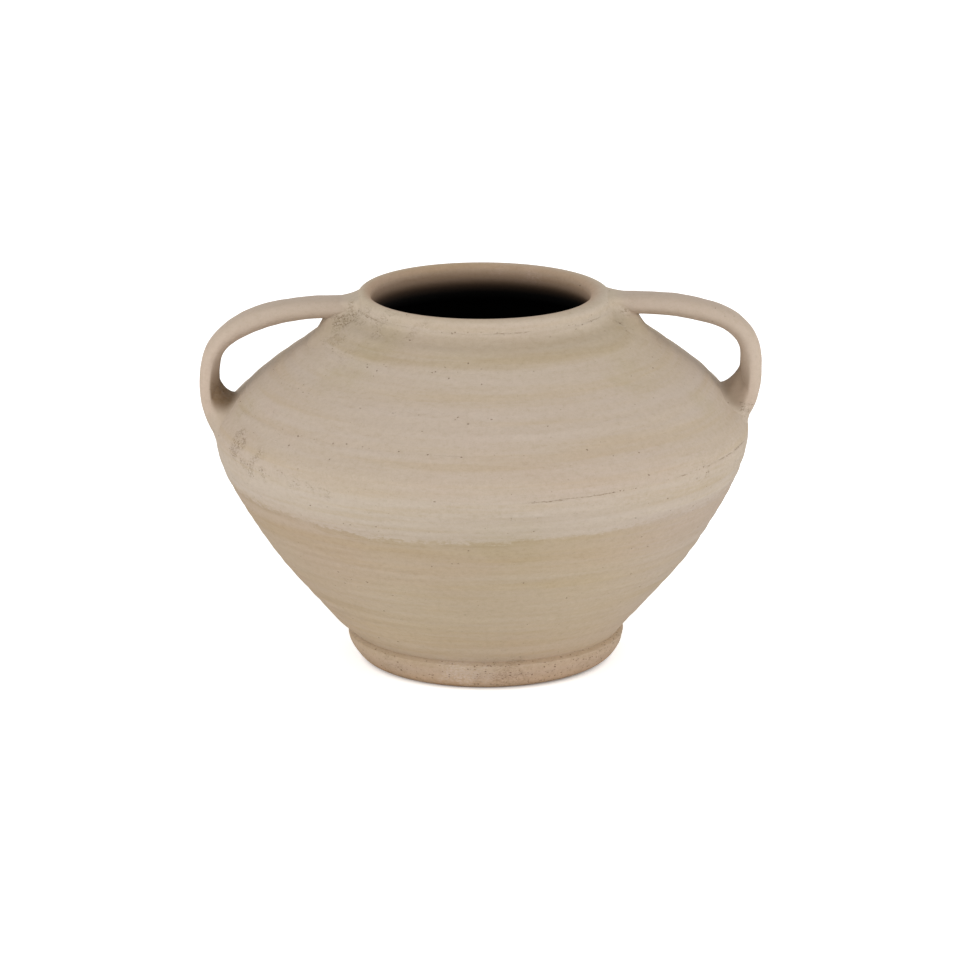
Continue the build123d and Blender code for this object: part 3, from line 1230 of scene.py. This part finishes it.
class Pattern(Enum):
    """Noise that the finishes share: whether it follows the flow, axis shares, scale, detail, roughness."""

    BROAD = (False, (1.0, 1.0, 2.6), 7.0, 3.0, 0.5)
    CLOUDY = (False, (1.0, 1.0, 1.7), 23.0, 4.0, 0.6)
    BANDS = (True, (0.5, 0.5, 1.0), 9.0, 4.0, 0.6)
    STREAK = (True, None, 17.0, 3.0, 0.5)
    DASHES = (True, (1.6, 1.6, 1.1), 52.0, 3.0, 0.65)
    MOTTLE = (False, (1.0, 1.0, 1.5), 230.0, 4.0, 0.7)
    GRAIN = (False, None, 900.0, 3.0, 0.7)
    SCRATCH = (False, (1.0, 1.0, 2.2), 420.0, 3.0, 0.75)


# Tints by pattern, as (pattern, where it is 0, where it is whole, strength, tint): the broad casts,
# the washes that the wheel draws round the wall, and the grit of the clay
CASTS = (
    (Pattern.BROAD, 0.5, 0.68, 0.6, (0.985, 0.955, 0.95)),
    (Pattern.BROAD, 0.5, 0.32, 0.6, (0.99, 0.985, 0.94)),
)
WASHES = (
    (Pattern.BANDS, 0.48, 0.66, 1.0, (0.972, 0.952, 0.895)),
    (Pattern.BANDS, 0.5, 0.34, 1.0, (1.015, 1.025, 1.055)),
    (Pattern.STREAK, 0.5, 0.3, 0.6, (0.96, 0.945, 0.915)),
    (Pattern.STREAK, 0.52, 0.72, 0.5, (1.03, 1.03, 1.04)),
    (Pattern.DASHES, 0.36, 0.26, 1.0, (0.93, 0.91, 0.88)),
)
GRITS = (
    (Pattern.MOTTLE, 0.52, 0.3, 1.0, (0.94, 0.93, 0.905)),
    (Pattern.MOTTLE, 0.5, 0.7, 1.0, (1.045, 1.045, 1.05)),
    (Pattern.GRAIN, 0.5, 0.3, 1.0, (0.94, 0.93, 0.91)),
)


class Ground:
    """What the clay finishes read of a surface: its places, what its mesh says, and noise."""

    def __init__(self, kit: NodeKit) -> None:
        """Adds the nodes that every clay finish shares.

        Args:
            kit: the material's nodes.
        """
        self.kit = kit
        self.place = kit.value("ShaderNodeTexCoord", {}, {}, "Object")
        flow = kit.value("ShaderNodeAttribute", {"attribute_name": "flow"}, {}, "Vector")
        self.hollow, self.stain, self.joined = [
            kit.value("ShaderNodeAttribute", {"attribute_name": tone.value}, {}, "Fac") for tone in Tone
        ]
        parts = kit.node("ShaderNodeSeparateXYZ", {}, {0: self.place})
        self.across, self.tall = Value(kit, parts.outputs[0]), Value(kit, parts.outputs[2]) * (1 / MM)
        self.noises = {}
        for pattern in Pattern:
            flowing, shares, scale, detail, rough = pattern.value
            read = flow if flowing else self.place
            read = kit.vector("MULTIPLY", read, shares) if shares else read
            self.noises[pattern] = kit.noise(read, scale, detail, rough)

    def uneven(self, pattern: Pattern, size: float) -> Value:
        """A pattern as an unevenness about 0."""
        return (self.noises[pattern] - 0.5) * size

    def washed(self, colour: Value, tints: tuple, strength: float = 1.0) -> Value:
        """Tints a colour by a table of patterns.

        Args:
            colour: the colour.
            tints: rows of pattern, where it is 0, where it is whole, strength and tint.
            strength: the strength of the whole table.

        Returns:
            The tinted colour.
        """
        for pattern, low, high, share, tint in tints:
            shown = self.noises[pattern].between(low, high) * (share * strength)
            colour = self.kit.tinted(shown, colour, tint)
        return colour


@dataclass(frozen=True)
class SlipBand:
    """The pale wiped band below the belly seam, and the shades under its lower edge.

    Heights are in millimetres and places across the jar in metres. A pair gives where a thing is
    0 and where it is whole.
    """

    colour: tuple = paint(194, 181, 166)
    lower_edge: tuple[float, float] = (134.5, 139.5)
    upper_edge: tuple[float, float] = (176.0, 166.0)
    left_side: tuple[float, float] = (0.1, -0.06)
    # How the edges waver with the cloudy, streaky and fine noise
    wavers: tuple[float, float, float] = (11.0, 6.0, 9.0)
    upper_wavers: tuple[float, float] = (8.0, 6.0)
    # The slope of the lower edge in mm a metre, and where and how steeply its left end climbs
    slope: float = 34.0
    climb_from: float = 0.05
    climb: float = 90.0
    # How strong the band is, how much more in streaks, and how much more on the left
    strengths: tuple[float, float, float] = (0.34, 0.3, 0.08)
    # A line worn through the band: height and half width, how it wavers, where and how strong it is
    worn_line: tuple[float, float] = (155.0, 8.0)
    worn_waver: float = 6.0
    worn_side: tuple[float, float] = (-0.1, 0.02)
    worn: float = 0.9
    worn_tint: tuple = (0.955, 0.94, 0.905)
    # The dark brow right under the band
    brow_edges: tuple = ((138.5, 136.5), (131.5, 135.0))
    brow_left: tuple[float, float] = (0.3, 0.7)
    brow_cloudy: tuple[float, float] = (0.3, 0.55)
    brow_tint: tuple = (0.91, 0.885, 0.81)
    # The broad shade below it, round the middle of the front
    shade_edges: tuple = ((138.0, 135.5), (116.0, 130.0))
    shade_reach: float = 0.16
    shade: float = 0.4
    shade_tint: tuple = (0.945, 0.945, 0.865)
    # The tints of the bowl's two sides
    bowl: tuple[float, float] = (152.0, 138.0)
    sides: tuple = (((0.07, 0.15), (0.985, 0.995, 1.09)), ((-0.05, -0.13), (0.955, 0.93, 0.935)))

    def laid(self, ground: Ground, colour: Value) -> Value:
        """Lays the band over the clay.

        Args:
            ground: what the finish reads of the surface.
            colour: the clay's colour.

        Returns:
            The colour with the band.
        """
        kit, across, tall = ground.kit, ground.across, ground.tall
        streak, cloudy = ground.noises[Pattern.STREAK], ground.noises[Pattern.CLOUDY]
        fine = ground.noises[Pattern.DASHES] + ground.noises[Pattern.MOTTLE] - 1.0
        uneven = ground.uneven(Pattern.CLOUDY, self.wavers[0]) + ground.uneven(Pattern.STREAK, self.wavers[1])
        climbing = (across * -1.0 - self.climb_from).higher(0.0) * self.climb
        low = tall - across * self.slope - climbing + (uneven + fine * self.wavers[2])
        left = across.between(*self.left_side)
        top = tall + ground.uneven(Pattern.STREAK, self.upper_wavers[0]) + fine * self.upper_wavers[1]
        band = low.between(*self.lower_edge) * top.between(*self.upper_edge)
        plain, streaky, more_left = self.strengths
        colour = kit.mixed(band * (plain + streak * streaky + left * more_left), colour, self.colour)
        worn = (low + ground.uneven(Pattern.STREAK, self.worn_waver)).ridge(*self.worn_line)
        colour = kit.tinted(worn * across.between(*self.worn_side) * self.worn, colour, self.worn_tint)
        least, more = self.brow_left
        brow = low.between(*self.brow_edges[0]) * low.between(*self.brow_edges[1]) * (least + left * more)
        colour = kit.tinted(brow * cloudy.between(*self.brow_cloudy), colour, self.brow_tint)
        shade = low.between(*self.shade_edges[0]) * low.between(*self.shade_edges[1])
        colour = kit.tinted(shade * across.ridge(0.0, self.shade_reach) * self.shade, colour, self.shade_tint)
        bowl = tall.between(*self.bowl)
        for edges, tint in self.sides:
            colour = kit.tinted(bowl * across.between(*edges), colour, tint)
        return colour


# How high each pattern stands in the clay's relief, how deep pits and rough spots are, and the bump
RELIEF = ((Pattern.STREAK, 0.3), (Pattern.DASHES, 0.16), (Pattern.GRAIN, 0.1), (Pattern.MOTTLE, 0.22))
PIT_DEPTH, SPOT_DEPTH, BUMP = 0.9, 0.5, 0.5
ROUGHNESS, GRAINY, SPECULAR = 0.78, 0.14, 0.2
# What shows the marks, as where a pattern or a mask is 0 and where it is whole
SPOT_SCRATCH, FROST_SCRATCH, DUST_SCRATCH = (0.5, 0.58), (0.42, 0.6), (0.42, 0.34)
SEAM_ZONE, SEAM_STREAK, SEAM_MOTTLE, SEAM_DASHES = (0.68, 0.95), (0.46, 0.56), (0.38, 0.55), (0.42, 0.54)
SEAM_PITTED, OCHRE_CLOUDS, OUTSIDE = (0.25, 0.8), (0.3, 0.6), (0.1, 0.0)
# Seams: how they waver with mottle and clouds, and where their right side begins
SEAM_WAVERS, SEAM_RIGHT = (3.0, 1.6), (-0.02, 0.05)
# How strongly frost, dust, rough spots, pits and the pits along seams show
FROST, DUST, SPOT, PIT, SEAM_PIT = 0.6, 0.6, 0.72, 0.8, 0.75
FROST_COLOUR, OCHRE_TINT = paint(208, 194, 182), (0.94, 0.94, 0.865)
# The tints of rough spots, of pits, and of the painted shade in the handles' pockets
SPOT_TINT, PIT_TINT, PAINTED_SHADE_TINT = (0.50, 0.44, 0.36), (0.36, 0.30, 0.25), (0.30, 0.235, 0.15)
# How strong the painted shade is, and how much more where the clay is mottled
PAINTED_SHADE_STRENGTH, PAINTED_SHADE_MOTTLE = 0.75, 0.5
# The hollow: the tint of its edge, then its colours, with the depths between which they come in
EDGE_DEPTHS, EDGE_TINT = (0.0, 0.26), (0.83, 0.70, 0.63)
HOLLOW_COLOURS = (((0.2, 0.8), paint(74, 55, 40)), ((0.5, 1.0), paint(17, 13, 10)))
# Noise that makes the edges of scuffs ragged, as scale and detail
RAGGED_NOISE = (70.0, 3.0)
# Pits: cells a metre, the noise that bends them, how flat they are, where they crowd and how much,
# how many more there are where it is rough, how much smaller some are, and their edge
PIT_CELLS, PIT_BENDS, PIT_FLATNESS = 420.0, (800.0, 1.0), (1.0, 1.0, 1.5)
PIT_CROWDS, PIT_CROWDED, PIT_SHARES = (30.0, 2.0), (0.42, 0.66), (0.35, 1.5)
PIT_ROUGHER, PIT_SMALLER, PIT_EDGE = 0.3, 0.26, (0.44, 0.22)


@dataclass(frozen=True)
class ClayFinish:
    """Unglazed clay: its colours by height and how strongly each surface detail shows.

    Attributes:
        name: the material's name.
        heights: colours at heights in millimetres, from low to high.
        meeting: the colours that it takes where it joins other clay, in the same form.
        wash: strength of the broad level bands of ochre and of pale clay.
        pits: share of places that have a pit.
        grit: strength of the fine grain.
        thrown: whether it is wall, which the band of slip and the broken seams run round.
        top: the height at which the colours end.
        wander: how far the colours wander up and down with the bands and the clouds, in millimetres.
        ragged: how far the edges of scuffs and blooms wander, in metres.
        bent: how far the pits are bent, in metres.
    """

    name: str
    heights: tuple
    meeting: tuple = ()
    wash: float = 1.0
    pits: float = 0.012
    grit: float = 1.0
    thrown: bool = True
    top: float = 285.0
    wander: tuple[float, float] = (16.0, 8.0)
    ragged: tuple[float, float, float] = (0.07, 0.07, 0.034)
    bent: float = 0.0022

    def material(self) -> bpy.types.Material:
        """Builds the material.

        Returns:
            The finished material.
        """
        material = bpy.data.materials.new(self.name)
        kit = NodeKit(material)
        ground = Ground(kit)
        noises, hollow = ground.noises, ground.hollow
        scratch, mottle, grain = noises[Pattern.SCRATCH], noises[Pattern.MOTTLE], noises[Pattern.GRAIN]
        half = tuple(-reach / 2 for reach in self.ragged)
        stray = kit.noise(ground.place, *RAGGED_NOISE, output="Color")
        ragged = kit.vector("ADD", ground.place, kit.vector("MULTIPLY_ADD", stray, self.ragged, half))
        marked, bloom = self._total(kit, ragged, SCUFFS), self._total(kit, ragged, BLOOMS)
        rough, pitted = marked * scratch.between(*SPOT_SCRATCH), marked
        if self.thrown:
            zone = self._seamed(ground) * hollow.between(*OUTSIDE)
            seamed = zone.between(*SEAM_ZONE) * noises[Pattern.STREAK].between(*SEAM_STREAK)
            seamed = seamed * mottle.between(*SEAM_MOTTLE)
            rough = rough + seamed * noises[Pattern.DASHES].between(*SEAM_DASHES)
            pitted = marked + zone.between(*SEAM_PITTED) * SEAM_PIT
        rough, pit = rough.lower(1.0), self._pits(kit, ground.place, pitted)
        frosted = bloom * scratch.between(*FROST_SCRATCH) + marked * scratch.between(*DUST_SCRATCH) * DUST
        ochre = self._total(kit, ground.place, OCHRES) * noises[Pattern.CLOUDY].between(*OCHRE_CLOUDS)

        colour = kit.tinted(ochre, self._clay(ground), OCHRE_TINT)
        colour = kit.mixed(frosted * FROST, colour, FROST_COLOUR)
        colour = kit.tinted(rough * SPOT, colour, SPOT_TINT)
        colour = kit.tinted(pit * PIT, colour, PIT_TINT)
        # Painted shade, darkening the handles' inner facets and the pockets at their lower roots
        painted_shade_shown = ground.stain * (PAINTED_SHADE_STRENGTH + mottle * PAINTED_SHADE_MOTTLE)
        colour = kit.tinted(painted_shade_shown.lower(1.0), colour, PAINTED_SHADE_TINT)
        colour = kit.tinted(hollow.between(*EDGE_DEPTHS), colour, EDGE_TINT)
        for depths, deeper in HOLLOW_COLOURS:
            colour = kit.mixed(hollow.between(*depths), colour, deeper)

        relief = reduce(Value.__add__, [noises[pattern] * high for pattern, high in RELIEF])
        relief = relief - pit * PIT_DEPTH - rough * SPOT_DEPTH
        bump = kit.value("ShaderNodeBump", {}, {"Strength": BUMP, "Distance": MM, "Height": relief})
        look = {"Base Color": colour, "Roughness": ROUGHNESS + grain * GRAINY, "Normal": bump}
        shader = kit.value("ShaderNodeBsdfPrincipled", {}, {**look, "Specular IOR Level": SPECULAR})
        kit.node("ShaderNodeOutputMaterial", {}, {"Surface": shader})
        return material

    def _clay(self, ground: Ground) -> Value:
        """The clay's own colour, with its washes and grit and the band of slip.

        Args:
            ground: what the finish reads of the surface.

        Returns:
            The colour.
        """
        bands, clouds = self.wander
        tall = ground.tall + ground.uneven(Pattern.BANDS, bands) + ground.uneven(Pattern.CLOUDY, clouds)
        colour = self._by_height(ground.kit, tall, self.heights)
        if self.meeting:
            colour = ground.kit.mixed(ground.joined, colour, self._by_height(ground.kit, tall, self.meeting))
        colour = ground.washed(colour, CASTS)
        if self.thrown:
            colour = SlipBand().laid(ground, colour)
        return ground.washed(ground.washed(colour, WASHES, self.wash), GRITS, self.grit)

    def _by_height(self, kit: NodeKit, tall: Value, heights: tuple) -> Value:
        """The colour at a height in millimetres, from a table of colours by height."""
        stops = [(height / self.top, paint(*colour)) for height, colour in heights]
        return kit.value("ShaderNodeValToRGB", {"stops": stops}, {0: tall * (1 / self.top)})

    @staticmethod
    def _seamed(ground: Ground) -> Value:
        """How near the broken lines round the wall are.

        Args:
            ground: what the finish reads of the surface.

        Returns:
            A value from 0 to 1.
        """
        mottled, cloudy = SEAM_WAVERS
        wavy = ground.tall + ground.noises[Pattern.MOTTLE] * mottled - mottled / 2
        wavy = wavy + ground.uneven(Pattern.CLOUDY, cloudy)
        right_side = ground.across.between(*SEAM_RIGHT)
        lines = []
        for seam in SEAMS:
            line = (wavy - ground.across * seam.tilt).ridge(seam.height, seam.half_width)
            lines.append(line * (seam.left + right_side * (seam.right - seam.left)))
        return reduce(Value.higher, lines)

    @staticmethod
    def _total(kit: NodeKit, place: Value, marks: tuple) -> Value:
        """How strongly any of the marks shows at a place."""
        shown = [kit.near(place, mark.centre, mark.radius) * mark.strength for mark in marks]
        return reduce(Value.higher, shown)

    def _pits(self, kit: NodeKit, place: Value, more: Value) -> Value:
        """Small uneven pits, in crowds, with more of them where the clay is rougher.

        Args:
            kit: the material's nodes.
            place: the place.
            more: how rough the place is.

        Returns:
            One in a pit, 0 outside.
        """
        bend = kit.noise(place, *PIT_BENDS, output="Color")
        bent = kit.vector("MULTIPLY_ADD", bend, (self.bent,) * 3, kit.vector("MULTIPLY", place, PIT_FLATNESS))
        cells = kit.node("ShaderNodeTexVoronoi", {}, {"Vector": bent, "Scale": PIT_CELLS})
        picked = kit.node("ShaderNodeSeparateColor", {}, {0: cells.outputs["Color"]})
        few, many = PIT_SHARES
        share = (few + kit.noise(place, *PIT_CROWDS).between(*PIT_CROWDED) * many) * self.pits
        chosen = (Value(kit, picked.outputs[0]) + share + more * PIT_ROUGHER) > 1.0
        smaller = Value(kit, picked.outputs[1]) * PIT_SMALLER
        return (Value(kit, cells.outputs["Distance"]) + smaller).between(*PIT_EDGE) * chosen


class Finish(Enum):
    """The three finishes of the record's material slots."""

    BODY = "body_clay"
    HANDLE = "handle_clay"
    FOOT = "foot_clay"


# Colours by height. Up to about 60 mm they are lighter than above, as painted light from below on the lower
# bowl.
BODY_COLOURS = (
    ((0.0, (193, 174, 151)), (30.0, (195, 177, 154)), (60.0, (192, 175, 151)), (100.0, (188, 171, 147)))
    + ((130.0, (187, 169, 146)), (150.0, (190, 175, 158)), (185.0, (188, 172, 154)), (225.0, (190, 174, 157)))
    + ((246.0, (189, 173, 154)), (256.0, (180, 164, 142)), (262.0, (180, 164, 142)), (268.0, (190, 175, 156)))
    + ((279.0, (192, 177, 157)),)
)
HANDLE_COLOURS = (
    ((0.0, (195, 177, 160)), (190.0, (195, 177, 160)), (230.0, (197, 180, 163)))
    + ((258.0, (191, 174, 157)), (280.0, (188, 171, 155)))
)
# Partly painted light: these colours are made lighter to stand in for light from below on the foot.
FOOT_COLOURS = (
    ((0.0, (172, 140, 108)), (2.5, (184, 158, 131)), (8.0, (185, 163, 141)))
    + ((14.0, (190, 169, 147)), (20.0, (186, 166, 143)))
)
FINISHES = {
    Finish.BODY: ClayFinish("pale_clay", BODY_COLOURS),
    Finish.HANDLE: ClayFinish(
        "smoothed_clay", HANDLE_COLOURS, BODY_COLOURS, wash=0.3, pits=0.008, grit=0.8, thrown=False
    ),
    Finish.FOOT: ClayFinish("coarse_clay", FOOT_COLOURS, wash=0.7, pits=0.4, grit=1.6, thrown=False),
}


@dataclass
class Dresser:
    """Gives each piece its finish, its body and the CAD node that it stands for."""

    body: str = "root"
    made: dict[Finish, bpy.types.Material] = field(default_factory=dict)

    def dress(self, thing: bpy.types.Object, node: str, finish: Finish) -> None:
        """Finishes one piece.

        Args:
            thing: the piece.
            node: the CAD node that it replaces.
            finish: the piece's finish.
        """
        if finish not in self.made:
            self.made[finish] = FINISHES[finish].material()
        thing.data.materials.append(self.made[finish])
        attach(thing, self.body)
        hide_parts(node)
        LOG.info("%s stands for %s: %d faces", thing.name, node, len(thing.data.polygons))


WHITE = (1.0, 1.0, 1.0, 1.0)
# The soft lamps, as (name, place in metres, width and height, watts)
LAMPS = (
    ("high_left", (-1.9, -1.7, 2.2), (1.8, 1.8), 9.0),
    ("high_right", (2.2, -1.5, 1.9), (1.8, 1.8), 7.0),
    ("side_left", (-2.2, -0.8, 0.7), (1.6, 1.2), 14.0),
    ("side_right", (2.2, -0.8, 0.7), (1.6, 1.2), 15.0),
    ("low_front", (0.0, -2.5, 0.36), (2.6, 0.6), 11.0),
    ("behind", (0.0, 2.4, 1.1), (3.0, 1.4), 12.0),
)


@dataclass
class Studio:
    """The white floor, the soft light and the camera."""

    middle: tuple[float, float, float] = (0.0, 0.0, 0.13875)
    distance: float = 4.5
    elevation: float = 15.37
    lens: float = 225.0
    sensor: float = 36.0
    clip_end: float = 100.0
    frame_side: float = 960.0
    # Where the jar's middle falls in the photograph, in pixels from its left and top
    middle_pixel: tuple[float, float] = (483.0, 471.9)
    floor_side: float = 30.0
    cloth: tuple = (0.9, 0.9, 0.9, 1.0)
    glow: float = 0.55
    # The shadow close round the foot: its middle in millimetres, and where it ends and is whole
    shadow_middle: tuple[float, float, float] = (2.0, -12.0, 0.0)
    shadow_reach: tuple[float, float] = (96.0, 84.0)
    sky: float = 0.6

    def camera(self) -> None:
        """Makes the camera at the photograph's viewing angle."""
        data = bpy.data.cameras.new("camera")
        data.lens = self.lens
        data.sensor_width = self.sensor
        data.clip_end = self.clip_end
        half = self.frame_side / 2
        data.shift_x = (half - self.middle_pixel[0]) / self.frame_side
        data.shift_y = (self.middle_pixel[1] - half) / self.frame_side
        camera = bpy.data.objects.new("camera", data)
        angle = math.radians(self.elevation)
        back = Vector((0.0, -math.cos(angle), math.sin(angle)))
        camera.location = Vector(self.middle) + back * self.distance
        camera.rotation_euler = back.to_track_quat("Z", "Y").to_euler()
        bpy.context.scene.collection.objects.link(camera)
        bpy.context.scene.camera = camera

    def lamp(self, name: str, place: tuple, size: tuple[float, float], power: float) -> None:
        """Makes one soft lamp that faces the jar.

        Args:
            name: the lamp's name.
            place: where it hangs, in metres.
            size: its width and height.
            power: its power in watts.
        """
        data = bpy.data.lights.new(name, "AREA")
        data.shape = "RECTANGLE"
        data.size, data.size_y = size
        data.energy = power
        lamp = bpy.data.objects.new(name, data)
        lamp.location = place
        lamp.rotation_euler = (Vector(place) - Vector(self.middle)).to_track_quat("Z", "Y").to_euler()
        bpy.context.scene.collection.objects.link(lamp)

    def world(self) -> None:
        """Makes the surroundings: white to the camera, a soft even light to everything else."""
        world = bpy.data.worlds.new("surroundings")
        bpy.context.scene.world = world
        kit = NodeKit(world)
        seen = kit.value("ShaderNodeLightPath", {}, {}, "Is Camera Ray")
        soft, white = [
            kit.value("ShaderNodeBackground", {}, {"Color": WHITE, "Strength": strength})
            for strength in (self.sky, 1.0)
        ]
        light = kit.value("ShaderNodeMixShader", {}, {0: seen, 1: soft, 2: white})
        kit.node("ShaderNodeOutputWorld", {}, {"Surface": light})

    def floor(self) -> None:
        """Makes the floor, white to the camera except in the shadow close round the foot."""
        half = self.floor_side / 2
        mesh = bpy.data.meshes.new("studio_floor")
        corners = [(-half, -half, 0), (half, -half, 0), (half, half, 0), (-half, half, 0)]
        mesh.from_pydata(corners, [], [(0, 1, 2, 3)])
        floor = bpy.data.objects.new("studio_floor", mesh)
        bpy.context.scene.collection.objects.link(floor)
        material = bpy.data.materials.new("studio_floor")
        kit = NodeKit(material)
        seen = kit.value("ShaderNodeLightPath", {}, {}, "Is Camera Ray")
        cloth = kit.value("ShaderNodeBsdfDiffuse", {}, {"Color": self.cloth})
        none, glow = [
            kit.value("ShaderNodeEmission", {}, {"Color": colour, "Strength": strength})
            for colour, strength in (((0, 0, 0, 1), 0.0), (WHITE, self.glow))
        ]
        place = kit.value("ShaderNodeTexCoord", {}, {}, "Object")
        away = seen * (1 - kit.near(place, self.shadow_middle, *self.shadow_reach))
        shown = kit.value("ShaderNodeMixShader", {}, {0: away, 1: none, 2: glow})
        both = kit.value("ShaderNodeAddShader", {}, {0: cloth, 1: shown})
        kit.node("ShaderNodeOutputMaterial", {}, {"Surface": both})
        mesh.materials.append(material)

    def build(self) -> None:
        """Builds the whole studio."""
        bpy.context.scene.view_settings.view_transform = "Standard"
        self.camera()
        self.world()
        self.floor()
        for name, place, size, power in LAMPS:
            self.lamp(name, place, size, power)


# The handles' centre lines, as shares of the way out from the lip and up from the lower root
LEFT_PATH = (
    ((0.39, 0.983), (0.669, 0.903), (0.871, 0.767), (0.9755, 0.603), (1.003, 0.411), (0.986, 0.212))
    + ((0.924, 0.0), (0.85, -0.14), (0.78, -0.23))
)
RIGHT_PATH = (
    ((0.381, 0.991), (0.655, 0.934), (0.847, 0.839), (0.962, 0.686), (0.998, 0.486), (0.982, 0.232))
    + ((0.925, 0.04), (0.83, -0.09), (0.72, -0.17))
)
# Their straps, as (share of the way along, width, thickness), the last two in shares of the usual
LEFT_STRAP = (
    ((0.0, 1.1, 1.02), (0.12, 1.06, 1.0), (0.3, 1.0, 1.04), (0.45, 0.97, 1.06), (0.58, 0.95, 0.92))
    + ((0.7, 1.0, 0.98), (0.82, 1.1, 1.08), (0.92, 1.18, 1.12), (1.0, 1.2, 1.15))
)
RIGHT_STRAP = (
    ((0.0, 1.1, 1.04), (0.12, 1.04, 1.0), (0.3, 0.98, 1.03), (0.45, 0.96, 1.0), (0.58, 0.97, 0.98))
    + ((0.7, 1.02, 1.1), (0.82, 1.1, 1.15), (0.92, 1.16, 1.12), (1.0, 1.16, 1.1))
)
LEFT_SPREAD = PadSpread((6.0, 8.0, 0.0), (21.0, 15.0, 0.6), (22.0, 18.0, 0.5))
RIGHT_SPREAD = PadSpread((6.0, 8.0, 0.0), (15.0, 12.0, 0.4), (31.0, 17.0, 0.72))
# The handles: name, side, how far they stand out, drop below the lip, height of the lower root,
# path, strap, seed, how deep their painted shade is, and the spread of the lower pad
HANDLES = (
    ("left", -1, 5.4, 12.6, 179.1, LEFT_PATH, LEFT_STRAP, 41, 0.9, LEFT_SPREAD),
    ("right", 1, 0.1, 9.5, 184.0, RIGHT_PATH, RIGHT_STRAP, 57, 0.6, RIGHT_SPREAD),
)


def main() -> None:
    """Builds the jar and its studio, piece by piece."""
    logging.basicConfig(level=logging.INFO, format="%(name)s: %(message)s")
    form, tooling = JarForm(), Tooling()
    maker, dresser = MeshMaker(form), Dresser()
    Studio().build()
    thrown = ThrownBody(form, maker, tooling)
    for ring in thrown.rings():
        finish = Finish.FOOT if ring.node == "foot_ring" else Finish.BODY
        dresser.dress(ring.build(maker, tooling), ring.node, finish)
    dresser.dress(thrown.floor(), "base_slab", Finish.BODY)
    for sizes in HANDLES:
        handle = StrapHandle(form, *sizes)
        dresser.dress(handle.strap(maker), f"{handle.name}_handle", Finish.HANDLE)
        for end in End:
            dresser.dress(handle.pad(end, maker), f"{handle.name}_{end.value}_wad", Finish.HANDLE)


if __name__ == "__main__":
    main()
